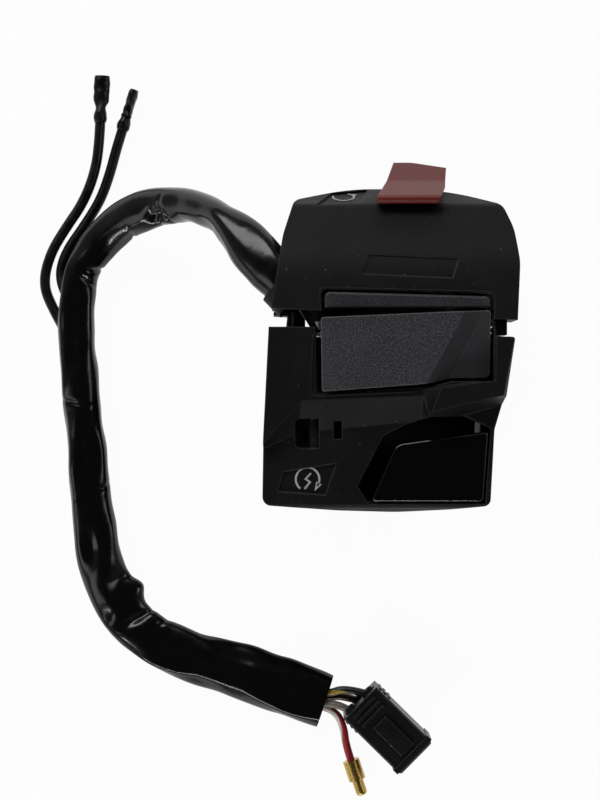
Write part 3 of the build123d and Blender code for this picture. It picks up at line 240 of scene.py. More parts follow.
# Nylon moulded in a coarsely etched tool: each pit's rim catches light, so it looks speckled
# grey, and the specks are painted glints of those rims. They are drawn coarse enough to show, a
# pixel and a half across
trim_grey = moulded("etched_dark_nylon", "#27272a", "#6c6c6f", 0.52, grain_mm=0.30,
                    grain_deep_mm=0.03, speck_and_glint="#58585b", speck_and_glint_mm=0.34, speck_and_glint_share=0.6,
                    sheen=0.4)
# The same nylon on the broad key, its specks painted glints. A slanting band and all beyond it
# are left smooth, and there the glints fade, which paints that side of the key darker, as if in
# shade; its paler edges are partly a painted highlight
key_grey = moulded("etched_nylon_smooth_band", "#252528", "#77777a", 0.48, grain_mm=0.30,
                   grain_deep_mm=0.02, speck_and_glint="#6c6c6f", speck_and_glint_mm=0.34, speck_and_glint_share=0.72,
                   sheen=0.4, smooth_and_shaded_past=14.4)
# Acetal moulded in a polished tool: a waxy red, paler along its edges, partly rubbed by thumbs
# and partly a painted highlight
lever_red = moulded("satin_red_pom", "#651f19", "#9c3b31", 0.40, grain_mm=0.3,
                    grain_deep_mm=0.004, sheen=0.4)
# ABS from a mirror-polished tool: piano black, which shows what it reflects, and whose edges are
# painted pale as a highlight
key_black = moulded("piano_black_abs", "#040405", "#707073", 0.10, grain_mm=1.6,
                    grain_deep_mm=0.0015, edge_mm=0.28, wear_and_highlight=0.9)
# Polyamide moulded in a plain tool, for the connector: a little gloss and scuffed corners
plug_black = moulded("moulded_dark_polyamide", "#0d0d0f", "#3c3c3e", 0.42, grain_mm=0.5,
                     sheen=0.3)
# Unfilled nylon keeps its own cream colour, with a soft satin shine
pale_nylon = moulded("natural_nylon", "#a79a80", "#c4b99f", 0.4, wear_and_highlight=0.3)
# Moulded nitrile rubber: matt, and greyed a little by bloom along its edges
grommet_black = moulded("grommet_rubber", "#121212", "#2e2e2e", 0.66, grain_mm=0.4, sheen=0.2)
# Glass laminate under green lacquer: glossy and faintly blotched, with a yellow cut edge
board_green = moulded("lacquered_glass_laminate", "#1d4f2f", "#9b8f4e", 0.28, speck_and_glint="#2f6a3f",
                      speck_and_glint_mm=1.2, edge_mm=0.15)
print("plastics", sorted(material.name for material in bpy.data.materials))

# %% [markdown]
# ## Metals
# Pins, screws and springs are zinc-plated steel, and the contacts are brass. Both come off
# machines that pull or roll the metal, so their fine scratches run one way: a noise that is
# squeezed along one axis gives them, because it then changes fast that way and slowly across.


# %% Metals
SCRATCH_MM = 0.9


def drawn_metal(name, colour, rough, squeeze=(1, 1, 12)):
    """Plated or rolled metal: a noise of SCRATCH_MM, squeezed twelvefold along one axis, is read
    as roughness and as height."""
    material, tree, place = new_material(name)
    squeezed = add_node(tree, "ShaderNodeMapping", inputs={"Vector": place, "Scale": squeeze})
    lines = add_node(tree, "ShaderNodeTexNoise", inputs={
        "Vector": squeezed.outputs["Vector"], "Scale": 1 / (SCRATCH_MM * MM), "Detail": 3.0,
    })
    roughness = add_node(tree, "ShaderNodeMapRange", inputs={
        "Value": lines.outputs["Fac"], **NOISE_BAND,
        "To Min": rough * 0.7, "To Max": rough * 1.4,
    })
    bump = add_node(tree, "ShaderNodeBump", inputs={
        "Strength": 0.6, "Distance": 0.01 * MM, "Height": lines.outputs["Fac"],
    })
    shader = add_node(tree, "ShaderNodeBsdfPrincipled", inputs={
        "Base Color": linear(colour), "Metallic": 1.0, "Roughness": roughness.outputs["Result"],
        "Normal": bump.outputs[0],
    })
    add_node(tree, "ShaderNodeOutputMaterial", inputs={"Surface": shader.outputs["BSDF"]})
    return material


# Drawn or turned steel with a thin zinc plate: cool grey, streaked along its length
steel = drawn_metal("zinc_plated_steel", "#b9bcc0", 0.32)
# Brass stamped from rolled strip: warm yellow, with the fine lines of the rollers
brass = drawn_metal("rolled_brass", "#c6a55c", 0.30, (12, 1, 1))
print("metals", steel.name, brass.name)

# %% [markdown]
# ## Vinyl
# The sleeve and the wires are plasticised PVC. New from the extruder it is smooth and glossy, and
# it stays limp, so it shows long soft highlights that every crease breaks. The sleeve also picks
# up a little dust. A wire's stripe is ink rolled along one side, so it follows an attribute
# that says how far round the wire a point lies.


# %% Vinyl
WRINKLE_APART_MM = 3.5
DUSTY_PATCH_MM = 1.1


def vinyl(name, colour, rough, stripe=None, wrinkle_mm=0.01, dust=0.0, sheen=0.5):
    """Extruded PVC: gloss broken by soft wrinkles, wrinkle_mm deep. A stripe lies where the
    cosine of the way round a wire is over about two thirds."""
    material, tree, place = new_material(name)
    soft = add_node(tree, "ShaderNodeTexNoise", inputs={
        "Vector": place, "Scale": 1 / (WRINKLE_APART_MM * MM), "Detail": 3.0, "Roughness": 0.5,
    })
    shade = linear(colour)
    if stripe:
        around = add_node(tree, "ShaderNodeAttribute", {"attribute_name": "around"})
        split = add_node(tree, "ShaderNodeSeparateXYZ", inputs={0: around.outputs["Vector"]})
        side = add_node(tree, "ShaderNodeMapRange", inputs={
            "Value": split.outputs["X"], "From Min": 0.62, "From Max": 0.72,
        })
        striped = add_node(tree, "ShaderNodeMix", {"data_type": "RGBA"}, {
            "Factor": side.outputs["Result"], 6: shade, 7: linear(stripe),
        })
        shade = striped.outputs[2]
    if dust:
        fine = add_node(tree, "ShaderNodeTexNoise", inputs={
            "Vector": place, "Scale": 1 / (DUSTY_PATCH_MM * MM), "Detail": 5.0, "Roughness": 0.8,
        })
        mask = add_node(tree, "ShaderNodeMapRange", inputs={
            "Value": fine.outputs["Fac"], "From Min": 0.56, "From Max": 0.78,
            "To Min": 0.0, "To Max": dust,
        })
        dusty = add_node(tree, "ShaderNodeMix", {"data_type": "RGBA"}, {
            "Factor": mask.outputs["Result"], 6: shade, 7: linear("#6d6c66"),
        })
        shade = dusty.outputs[2]
    roughness = add_node(tree, "ShaderNodeMapRange", inputs={
        "Value": soft.outputs["Fac"], **NOISE_BAND,
        "To Min": rough * 0.75, "To Max": rough * 1.35,
    })
    bump = add_node(tree, "ShaderNodeBump", inputs={
        "Strength": 1.0, "Distance": wrinkle_mm * MM, "Height": soft.outputs["Fac"],
    })
    shader = add_node(tree, "ShaderNodeBsdfPrincipled", inputs={
        "Base Color": shade, "Roughness": roughness.outputs["Result"], "Normal": bump.outputs[0],
        "IOR": PLASTIC_IOR, "Specular IOR Level": sheen,
    })
    add_node(tree, "ShaderNodeOutputMaterial", inputs={"Surface": shader.outputs["BSDF"]})
    return material


# %% The vinyls of the harness
# Extruded PVC sleeving, under a millimetre thick: deep black and wet-looking, a little dusty
sleeve_vinyl = vinyl("glossy_black_pvc_sleeve", "#080809", 0.17, wrinkle_mm=0.045, dust=0.03,
                     sheen=0.38)
# PVC extruded over the thin leads and dipped over their boots: satin black
lead_vinyl = vinyl("black_pvc_lead", "#060607", 0.36, wrinkle_mm=0.03, sheen=0.25)
# Black insulation with a rolled stripe of yellow ink: the stripe winds slowly round the wire
yellow_stripe = vinyl("black_pvc_yellow_stripe", "#0d0d0c", 0.34, stripe="#8f7a14")
# Grey insulation: chalky, with a soft shine
grey_vinyl = vinyl("grey_pvc_wire", "#6c645b", 0.36)
# Brown insulation, nearly black in the shade
brown_vinyl = vinyl("brown_pvc_wire", "#2e1c16", 0.36)
# Red insulation with a pale stripe along it
red_vinyl = vinyl("red_pvc_pale_stripe", "#a3202c", 0.34, stripe="#d9d2c4")
print("vinyls", sleeve_vinyl.name, red_vinyl.name)

# %% [markdown]
# ## Which finish goes on which engineering part
# A CAD part whose shape is right keeps its mesh and only takes a better material.

# %% Dress the engineering parts
finish_of = {
    shell_black: ["upper_housing", "lower_housing", "starter_switch_base"],
    trim_grey: ["upper_trim_strip"],
    key_grey: ["mode_key"],
    lever_red: ["stop_lever"],
    key_black: ["starter_key"],
    pale_nylon: ["stop_switch_base", "stop_contact_slider", "mode_tact_switch"],
    grommet_black: ["cable_grommet", "mode_tact_plunger"],
    board_green: ["circuit_board"],
    steel: ["stop_lever_pin", "mode_key_pin", "housing_screws", "switch_base_screws",
            "board_screws", "stop_detent_ball", "stop_detent_spring", "starter_return_spring",
            "mode_return_spring"],
    brass: ["thread_inserts", "stop_contact_bridge", "stop_contact_strips",
            "starter_contact_bridge", "starter_contacts", "connector_terminals",
            "spade_terminal_a", "spade_terminal_b", "bullet_terminal"],
    plug_black: ["connector_shell", "connector_latch"],
}
for material, names in finish_of.items():
    for name in names:
        for slot in nodes[name].material_slots:
            slot.material = material
print("dressed", sum(len(names) for names in finish_of.values()), "nodes")

# %% [markdown]
# ## Tools for surfaces
# A new piece is a grid of points: rings that follow each other along a line. The line comes from
# a NURBS spline whose control points are the cord's route, because a spline bends like a cord.


# %% Lines
SPLINE_ORDER = 3
SPLINE_STEPS = 24


def full_turn(count):
    """So many angles, evenly spaced round a circle, in radians."""
    return np.arange(count) * 2 * np.pi / count


def run_length(points):
    """How far along a line each point lies: the running sum of the gaps between points."""
    return np.concatenate([[0], np.cumsum(np.linalg.norm(np.diff(points, axis=0), axis=1))])


def smooth_line(route, step_mm):
    """Points every step_mm along the NURBS spline that has the route's points as control points."""
    data = bpy.data.curves.new("route", "CURVE")
    data.dimensions = "3D"
    data.resolution_u = SPLINE_STEPS
    spline = data.splines.new("NURBS")
    spline.points.add(len(route) - 1)
    control = np.hstack([np.array(route) * MM, np.ones((len(route), 1))])
    spline.points.foreach_set("co", control.ravel())
    spline.order_u = SPLINE_ORDER
    spline.use_endpoint_u = True
    holder = bpy.data.objects.new("route", data)
    bpy.context.scene.collection.objects.link(holder)
    mesh = bpy.data.meshes.new_from_object(holder)
    points = np.empty(len(mesh.vertices) * 3)
    mesh.vertices.foreach_get("co", points)
    bpy.data.objects.remove(holder)
    bpy.data.curves.remove(data)
    bpy.data.meshes.remove(mesh)
    points = points.reshape(-1, 3) / MM
    gone = run_length(points)
    at = np.linspace(0, gone[-1], int(gone[-1] / step_mm) + 2)
    return np.stack([np.interp(at, gone, points[:, k]) for k in range(3)], 1), at


def compass(line):
    """At each point of a line: the run's direction, the level one to its right, and the one up."""
    run = np.gradient(line, axis=0)
    run /= np.linalg.norm(run, axis=1, keepdims=True)
    right = np.cross(run, [0, 0, 1.0])
    right /= np.linalg.norm(right, axis=1, keepdims=True)
    return run, right, np.cross(right, run)


def ring_points(line, across, up):
    """Rings round a line: each point is line + across x right + up x up."""
    _, right, top = compass(line)
    return line[:, None] + across[..., None] * right[:, None] + up[..., None] * top[:, None]


print("a circle in four", [round(float(v), 2) for v in full_turn(4)])


# %% Surfaces
def shell_faces(rows, columns):
    """Quads between neighbouring rings, and one face over each end."""
    i, j = np.meshgrid(np.arange(rows - 1), np.arange(columns), indexing="ij")
    here, across = i * columns + j, i * columns + (j + 1) % columns
    quads = np.stack([here, across, across + columns, here + columns], -1)
    last = (rows - 1) * columns
    ends = [list(range(columns - 1, -1, -1)), list(range(last, last + columns))]
    return quads.reshape(-1, 4).tolist() + ends


def signed_volume(points, faces):
    """Six times the volume: the sum of a . (b x c) over each face's fan of triangles."""
    total = 0.0
    for size in {len(face) for face in faces}:
        same = np.array([face for face in faces if len(face) == size])
        for n in range(1, size - 1):
            a, b, c = points[same[:, 0]], points[same[:, n]], points[same[:, n + 1]]
            total += float(np.einsum("ij,ij->", a, np.cross(b, c)))
    return total


def make_piece(name, grids, material, sharp=40.0, rounds=None):
    """A mesh of closed shells, each a grid (rings, points, 3) in mm, that faces outwards.

    A shell whose signed volume is below zero is inside out, so its faces are turned round. Every
    new piece belongs to the housing.
    """
    points, faces, around = [], [], []
    for n, grid in enumerate(grids):
        flat = grid.reshape(-1, 3)
        start = sum(len(p) for p in points)
        shell = shell_faces(*grid.shape[:2])
        if signed_volume(flat - flat.mean(0), shell) < 0:
            shell = [face[::-1] for face in shell]
        faces += [[v + start for v in face] for face in shell]
        points.append(flat)
        if rounds is not None:
            around.append(rounds[n].reshape(-1, 3))
    mesh = bpy.data.meshes.new(name)
    mesh.from_pydata((np.concatenate(points) * MM).tolist(), [], faces)
    if rounds is not None:
        layer = mesh.attributes.new("around", "FLOAT_VECTOR", "POINT")
        layer.data.foreach_set("vector", np.concatenate(around).ravel())
    mesh.polygons.foreach_set("use_smooth", np.ones(len(mesh.polygons), bool))
    mesh.set_sharp_from_angle(angle=math.radians(sharp))
    mesh.materials.append(material)
    mesh.update()
    made = bpy.data.objects.new(name, mesh)
    bpy.context.scene.collection.objects.link(made)
    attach(made, "housing")
    return made


print("faces of a tube of 3 rings of 8 points", len(shell_faces(3, 8)))

# %% [markdown]
# ## The vinyl sleeve
# A sleeve this thin doesn't stay round: it is an oval that is 8 mm wide over the arch and flat,
# 13 mm wide, near its open end, kinked where it turns. Its section is therefore an oval whose width
# and height change along the route, and creases, dents and folds are added to its radius: a
# crease is a sharp ridge along the sleeve, a dent a soft hollow, and a fold a trough across it.

# %% Route, widths and heights of the sleeve
FLOOR_Z = -18.5
REST_GAP = 0.05
SLEEVE_WALL = 0.8
SLEEVE_STEP = 0.42
sleeve_sizes = [  # x, y, z or None where it lies on the bench, width, height
    (-19.6, 5.6, 15.4, 8.3, 8.3), (-25.1, 12.7, 14.4, 10.0, 7.8), (-30.5, 18.8, 11.2, 9.2, 7.4),
    (-35.7, 24.0, 6.4, 7.0, 8.6), (-41.3, 27.3, 0.6, 7.2, 8.4), (-47.9, 28.7, -5.0, 8.3, 8.0),
    (-54.8, 27.6, -9.6, 8.8, 7.6), (-61.4, 24.5, -12.8, 8.7, 7.4), (-66.2, 19.6, None, 8.5, 7.4),
    (-69.7, 13.2, None, 8.3, 7.4), (-70.7, 6.0, None, 8.0, 7.6), (-70.4, -2.4, None, 8.2, 7.4),
    (-69.5, -11.6, None, 8.5, 7.2), (-68.6, -23.0, None, 8.8, 7.0),
    (-67.5, -35.4, None, 9.1, 6.8), (-66.1, -47.2, None, 9.8, 6.5),
    (-63.9, -57.4, None, 11.0, 6.2), (-59.8, -65.4, None, 11.0, 6.0),
    (-53.2, -71.0, None, 10.6, 6.0), (-43.6, -75.2, None, 11.4, 6.0),
    (-33.4, -78.3, None, 12.4, 6.2), (-23.5, -81.9, None, 12.9, 6.2),
    (-13.1, -85.3, None, 12.0, 6.6),
]
sleeve_route = [
    (x, y, FLOOR_Z + tall / 2 + REST_GAP if z is None else z) for x, y, z, _, tall in sleeve_sizes
]
sleeve_line, sleeve_at = smooth_line(sleeve_route, SLEEVE_STEP)
nearest = [
    int(np.argmin(np.linalg.norm(sleeve_line - np.array(point), axis=1))) for point in sleeve_route
]
# A station counts the route's points: 3.5 is midway between the fourth and the fifth
counts = np.arange(len(sleeve_sizes))
station = np.interp(np.arange(len(sleeve_line)), nearest, counts)
half_wide = np.interp(station, counts, [size[3] / 2 for size in sleeve_sizes])
half_tall = np.interp(station, counts, [size[4] / 2 for size in sleeve_sizes])
print("sleeve", round(float(sleeve_at[-1]), 1), "mm,", len(sleeve_line), "rings")

# %% Creases, dents and folds of the sleeve
sleeve_creases = [  # stations, degrees round from the outer side, height and half-width
    ([0.4, 1.5, 2.5, 3.4], [186, 184, 180, 172], 0.55, 0.20),
    ([4.4, 5.5, 6.5, 7.6, 8.6], [150, 160, 172, 178, 170], 0.6, 0.22),
    ([4.9, 5.6, 6.3, 7.4], [112, 118, 128, 150], 0.30, 0.16),
    ([8.2, 10.0, 12.0, 14.0, 15.8], [28, 40, 34, 44, 30], 0.45, 0.22),
    ([9.0, 11.0, 13.0, 15.5], [150, 140, 152, 138], 0.4, 0.22),
    ([14.6, 16.0, 17.2], [96, 84, 70], 0.4, 0.16),
    ([17.3, 18.0, 19.2, 20.2, 20.7, 21.2, 22.4], [4, 30, 60, 62, 54, 48, 52], 0.95, 0.24),
    ([17.8, 18.6, 20.0, 21.6], [112, 118, 108, 120], 0.28, 0.14),
    ([18.6, 20.0, 22.2], [176, 182, 176], 0.5, 0.18),
]
sleeve_dents = [  # station, degrees, depth, reach along the route in mm, reach round in radians
    (5.35, 128, 1.3, 2.0, 0.40), (4.7, 60, -0.2, 3.0, 0.5), (3.3, 150, 0.35, 4.5, 0.5),
    (7.3, 60, 0.5, 5.0, 0.6), (9.6, 95, 0.8, 4.0, 0.6), (11.2, 80, 0.6, 5.0, 0.5),
    (13.2, 100, 0.7, 6.0, 0.5), (15.2, 75, 0.9, 4.0, 0.5), (16.55, 178, -1.7, 3.4, 0.6),
    (16.2, 118, 0.6, 2.8, 0.6), (17.3, 120, 0.7, 3.0, 0.6), (16.9, 60, 0.5, 2.6, 0.5),
    (18.4, 100, 0.5, 5.0, 0.5), (20.0, 128, 0.4, 5.0, 0.5), (21.3, 84, 0.5, 6.0, 0.35),
]
sleeve_folds = [  # station, degrees, depth, half-width in mm, slant in mm a radian, reach round
    (17.35, 120, 0.9, 0.9, 1.2, 1.0), (16.75, 80, 0.3, 0.9, -2.4, 0.8),
    (16.1, 150, 0.35, 1.1, 1.0, 0.7),
    (5.2, 128, 0.8, 0.5, 1.6, 0.7), (4.9, 150, 0.7, 0.5, -1.0, 0.6),
    (6.6, 165, 0.5, 0.5, 1.5, 0.6), (8.6, 160, 0.7, 0.6, -1.4, 0.9),
    (9.1, 120, 0.5, 0.5, 1.2, 0.8), (12.4, 60, 0.35, 0.5, 1.0, 0.9),
    (14.1, 120, 0.4, 0.5, -1.3, 0.9), (18.0, 150, 0.25, 0.9, 1.6, 0.8),
]
print(len(sleeve_creases), "creases,", len(sleeve_dents), "dents,", len(sleeve_folds), "folds")

# %% What they add to the radius
CREST_ROUND = 0.10
FADE_STATIONS = 0.7
SWAY_MM = 4.1


def off_angle(angles, middle):
    """Signed distance between two angles, wrapped into half a turn each way."""
    return (angles - middle + np.pi) % (2 * np.pi) - np.pi


def sleeve_relief(at, station, angles):
    """What creases, dents and folds add to the sleeve's radius, on its grid of rings and angles.

    A crease adds height x exp(-away / width), where away is sqrt(turn^2 + round^2) - round, so
    its top is narrow but not sharp, and carries a thin line of light. Its height fades in and out
    over FADE_STATIONS at its ends and sways by a quarter along its run. A dent takes away
    depth x exp(-(along/reach)^2 - (turn/reach)^2). A fold does that along a slanting line.
    """
    angles = angles[None, :]
    relief = np.zeros((len(at), angles.shape[1]))
    for stops, degrees, high, wide in sleeve_creases:
        middle = np.radians(np.interp(station, stops, degrees))[:, None]
        fade_in = np.clip((station - stops[0]) / FADE_STATIONS, 0, 1)
        fade_out = np.clip((stops[-1] - station) / FADE_STATIONS, 0, 1)
        sway = 0.75 + 0.25 * np.sin(at / SWAY_MM + degrees[0])
        away = np.sqrt(off_angle(angles, middle) ** 2 + CREST_ROUND ** 2) - CREST_ROUND
        relief += (high * fade_in * fade_out * sway)[:, None] * np.exp(-away / wide)
    along = np.interp(station, counts, at[nearest])
    for stop, degrees, deep, reach, spread in sleeve_dents:
        far = (along - np.interp(stop, counts, at[nearest])) / reach
        turn = off_angle(angles, math.radians(degrees)) / spread
        relief -= deep * np.exp(-far[:, None] ** 2 - turn ** 2)
    for stop, degrees, deep, wide, slant, spread in sleeve_folds:
        turn = off_angle(angles, math.radians(degrees))
        far = (along - np.interp(stop, counts, at[nearest]))[:, None]
        far = (far - slant * turn) / wide
        relief -= deep * np.exp(-far ** 2) * np.exp(-(turn / spread) ** 2)
    return relief


SLEEVE_SIDES = 72
angles = full_turn(SLEEVE_SIDES)
relief = sleeve_relief(sleeve_at, station, angles)
print("relief from", round(float(relief.min()), 2), "to", round(float(relief.max()), 2), "mm")

# %% [markdown]
# No length of a limp tube is even. Nine low waves of different lengths, each a sine that also
# winds round the tube, make it wander. Where it leaves the housing the grommet holds it round, so
# the relief grows from nothing over the first few millimetres. The floor then cuts off whatever
# would sink into the bench.

# %% Rings of the sleeve
LONGEST_WAVE = 38.0
WAVE_HIGH = 0.09
HELD_MM = 6.0
SINK_GAP = 0.03
wander = np.random.default_rng(7)
for turns in (1, 2, 3):
    for length_mm in (LONGEST_WAVE, 17.0, 9.0):
        lean, phase = wander.uniform(0, 2 * np.pi, 2)
        high = WAVE_HIGH * (length_mm / LONGEST_WAVE) ** 0.4
        relief += high * np.sin(
            2 * np.pi * sleeve_at[:, None] / length_mm + turns * angles[None, :] + phase + lean
        )
gate = np.clip(sleeve_at / HELD_MM, 0, 1)[:, None]
across = (half_wide[:, None] + relief * gate) * np.cos(angles)
up = (half_tall[:, None] + relief * gate) * np.sin(angles)
up = np.maximum(up, FLOOR_Z + SINK_GAP - sleeve_line[:, 2:3])
outer = ring_points(sleeve_line, across, up)
inner = ring_points(
    sleeve_line,
    across - SLEEVE_WALL * np.cos(angles),
    up - SLEEVE_WALL * np.sin(angles),
)
print("rings", outer.shape[0], "of", outer.shape[1], "points")

# %% [markdown]
# The sleeve is one closed skin: out along its outer face, over the rim of the open end and back
# inside, so that the camera can look into its mouth past the wires.

# %% Build the sleeve
skin_rows = np.concatenate([outer, inner[::-1]], axis=0)
sleeve = make_piece("harness_vinyl_sleeve", [skin_rows], sleeve_vinyl, sharp=80)
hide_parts("harness_sleeve")
print("sleeve faces", len(sleeve.data.polygons))

# %% [markdown]
# ## Wires and leads
# Four wires leave the sleeve's mouth: three enter the connector, the red one ends in a bullet
# terminal. Two thin leads for the brake light switch leave the sleeve's side and end in booted
# blades. Each is a round tube round its own spline.


# %% Round tubes
CORD_STEP = 0.6


def round_tube(route, wide, sides=20, twist=0.0):
    """Rings of radius x (cos t, sin t) along a line, and how far round each point lies, as the
    cosine and sine of t + twist x the way along."""
    line, at = smooth_line(route, CORD_STEP)
    turn = full_turn(sides)
    rings = ring_points(line, wide / 2 * np.cos(turn)[None], wide / 2 * np.sin(turn)[None])
    about = turn[None] + twist * at[:, None]
    return line, at, rings, np.stack([np.cos(about), np.sin(about), np.zeros(about.shape)], -1)


print("cords have a ring every", CORD_STEP, "mm")

# %% Wires and leads
LEAD_Z = FLOOR_Z + 1.2
lead_routes = {
    "brake_lead_a": [
        (-71.2, -8.0, -14.6), (-72.4, -1.0, -15.3), (-76.0, 5.0, -16.8), (-78.6, 11.0, LEAD_Z),
        (-77.0, 18.0, LEAD_Z), (-73.4, 24.0, LEAD_Z), (-69.5, 29.6, LEAD_Z), (-66.9, 35.8, LEAD_Z),
        (-65.6, 42.2, LEAD_Z), (-65.3, 48.6, LEAD_Z),
    ],
    "brake_lead_b": [
        (-70.9, 1.0, -13.8), (-72.0, 6.6, -15.0), (-74.8, 12.6, -16.9), (-73.4, 18.4, LEAD_Z),
        (-69.0, 24.6, LEAD_Z), (-65.2, 30.6, LEAD_Z), (-62.9, 37.2, LEAD_Z), (-61.6, 42.3, LEAD_Z),
        (-60.2, 46.8, LEAD_Z),
    ],
}
wire_routes = {
    "wire_black_yellow": [
        (-41.4, -73.9, -14.4), (-32.9, -76.7, -14.4), (-22.9, -80.4, -14.3), (-12.7, -83.8, -13.9),
        (-8.6, -81.7, -12.8), (-2.3, -83.55, -11.9),
    ],
    "wire_grey": [
        (-42.1, -76.0, -14.2), (-33.5, -78.6, -14.2), (-23.6, -82.3, -14.2), (-13.2, -85.7, -13.9),
        (-9.9, -85.7, -12.8), (-6.4, -87.65, -12.3),
    ],
    "wire_brown": [
        (-41.8, -75.0, -16.3), (-33.2, -77.6, -16.3), (-23.3, -81.3, -16.2), (-12.9, -84.7, -16.0),
        (-9.2, -84.0, -15.5), (-4.35, -85.6, -15.65),
    ],
    "wire_red": [
        (-42.4, -77.1, -16.0), (-33.8, -79.5, -16.0), (-24.0, -83.2, -16.0), (-13.5, -86.6, -15.8),
        (-10.3, -88.1, -15.3), (-8.7, -91.8, -16.0), (-8.3, -95.6, -16.55), (-7.1, -99.2, -16.55),
    ],
}
cord_looks = {
    "brake_lead_a": (2.4, lead_vinyl, "lead_black", 0.0),
    "brake_lead_b": (2.4, lead_vinyl, "lead_black", 0.0),
    "wire_black_yellow": (1.8, yellow_stripe, "wire_yellow", 0.35),
    "wire_grey": (1.8, grey_vinyl, "wire_grey", 0.0),
    "wire_brown": (1.8, brown_vinyl, "wire_brown", 0.0),
    "wire_red": (1.8, red_vinyl, "wire_red", 0.16),
}
for name, route in {**lead_routes, **wire_routes}.items():
    wide, material, slot, twist = cord_looks[name]
    line, at, rings, about = round_tube(route, wide, twist=twist)
    cord = make_piece(f"{name}_cover", [rings], material, rounds=[about])
    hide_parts(name)
    print(name, round(float(at[-1]), 1), "mm")

# %% [markdown]
# ## Boots and inner leads
# Each blade terminal sits in a soft boot that was dipped in vinyl, so it bulges over the crimp,
# necks in behind it and flattens over the blade, and no two come out alike. A boot is one skin:
# out along its outer face and back along its slot. Inside the housing, three more leads run from
# the sleeve to the switches.

# %% Boots and inner leads
BOOT_SIDES = 40
BOOT_RINGS = 60
SLOT_RINGS = 12
NECK_SHARE = 0.38
SLOT_SHARE = 0.46
SLOT_SQUARE = 0.35
boot_shapes = {  # the lead's end, the route point before it, length, and if the blade lies flat
    "terminal_boot_a": ((-65.3, 48.6, LEAD_Z), (-65.6, 42.2, LEAD_Z), 10.9, True),
    "terminal_boot_b": ((-60.2, 46.8, LEAD_Z), (-61.6, 42.3, LEAD_Z), 9.7, False),
}
# Share of the length, half the size across the blade's face, half the size through the blade
boot_sizes = np.array([
    (0.00, 1.22, 1.22), (0.03, 1.40, 1.40), (0.10, 1.50, 1.48), (0.20, 1.46, 1.42),
    (0.27, 1.26, 1.22), (0.32, 1.17, 1.13), (0.38, 1.32, 1.06), (0.46, 1.72, 1.08),
    (0.55, 1.85, 1.13), (0.80, 1.84, 1.12), (0.93, 1.85, 1.15), (1.00, 1.76, 1.04),
])
SLOT_HALF = (1.50, 0.50)
BOOT_GAP = 0.02
boot_turn = full_turn(BOOT_SIDES)


def boot_skin(start, before, long, flat):
    """A boot's rings: ovals whose half sizes follow boot_sizes, plus lumps of 0.05 mm, then the
    slot's rings back from the tip, rounded oblongs: sign(c) |c|^SLOT_SQUARE for cos and sin.

    A boot whose blade stands on edge swaps its two half sizes past the neck. Its middle rises
    from the lead's bulge to the blade's height between shares 0.27 and SLOT_SHARE.
    """
    run = np.array(start) - np.array(before)
    run /= np.linalg.norm(run)
    share = np.concatenate([
        np.linspace(0, 1, BOOT_RINGS), np.linspace(1, SLOT_SHARE, SLOT_RINGS),
    ])[:, None]
    face = np.interp(share, boot_sizes[:, 0], boot_sizes[:, 1])
    through = np.interp(share, boot_sizes[:, 0], boot_sizes[:, 2])
    lump = 0.05 * np.sin(18 * share + 2 * boot_turn) + 0.03 * np.sin(31 * share - 3 * boot_turn)
    is_slot = (np.arange(len(share)) >= BOOT_RINGS)[:, None]
    square_cos, square_sin = (
        np.sign(c) * np.abs(c) ** SLOT_SQUARE for c in (np.cos(boot_turn), np.sin(boot_turn))
    )
    slot_face, slot_through = SLOT_HALF if flat else SLOT_HALF[::-1]
    wide, tall = (face, through) if flat else (
        np.where(share < NECK_SHARE, face, through), np.where(share < NECK_SHARE, through, face))
    across = np.where(is_slot, slot_face * square_cos, (wide + lump) * np.cos(boot_turn))
    rise = np.where(is_slot, slot_through * square_sin, (tall + lump) * np.sin(boot_turn))
    bulge_up, blade_up = 0.30, (-0.05 if flat else 0.65)
    centre = bulge_up + (blade_up - bulge_up) * np.clip((share - 0.27) / 0.19, 0, 1)
    line = np.array(start) + share * long * run
    top = np.array([0, 0, 1.0])
    rings = line[:, None] + across[..., None] * np.cross(run, top)
    rings = rings + (centre + rise)[..., None] * top
    rings[..., 2] = np.maximum(rings[..., 2], FLOOR_Z + BOOT_GAP)
    return rings


for name, shape in boot_shapes.items():
    make_piece(
        f"{name}_cover", [boot_skin(*shape)], lead_vinyl, sharp=60,
    )
    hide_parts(name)

# %% Leads inside the housing
INNER_LEAD_MM = 1.4
inner_routes = [
    [(-20.6, 8.66, 14.45), (-18.55, 6.52, 14.8), (-11.5, 6.8, 17.2), (-4.5, 11.2, 17.2),
     (2.51, 13.65, 15.9)],
    [(-21.78, 7.86, 16.44), (-19.71, 5.72, 16.79), (-16.6, 0.9, 16.6), (-14.2, -3.0, 16.2),
     (-13.3, -4.4, 15.2), (-13.2, -4.6, 13.75)],
    [(-22.72, 6.66, 14.65), (-20.65, 4.52, 15.0), (-21.4, -1.5, 15.0), (-21.65, -8.0, 15.0),
     (-21.65, -15.2, 14.2), (-17.6, -22.0, 10.2), (-10.6, -27.0, 6.0), (-4.6, -29.6, 3.6),
     (4.0, -30.1, 3.2)],
]
inner_cover = make_piece(
    "inner_leads_cover", [round_tube(route, INNER_LEAD_MM, sides=14)[2] for route in inner_routes],
    lead_vinyl,
)
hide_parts("inner_leads")
print("inner leads", len(inner_routes))

# %% [markdown]
# ## Printed symbols
# Two generic symbols are pad-printed in pale ink: start, on its dark pad below, and run, on the
# shoulder above. Ink stands a few hundredths of a millimetre proud, so each stroke is a thin
# ribbon. It is drawn in flat coordinates, and then laid on the plane of its pad.

# %% Strokes
INK_MM = 0.04
LINE_MM = 0.42


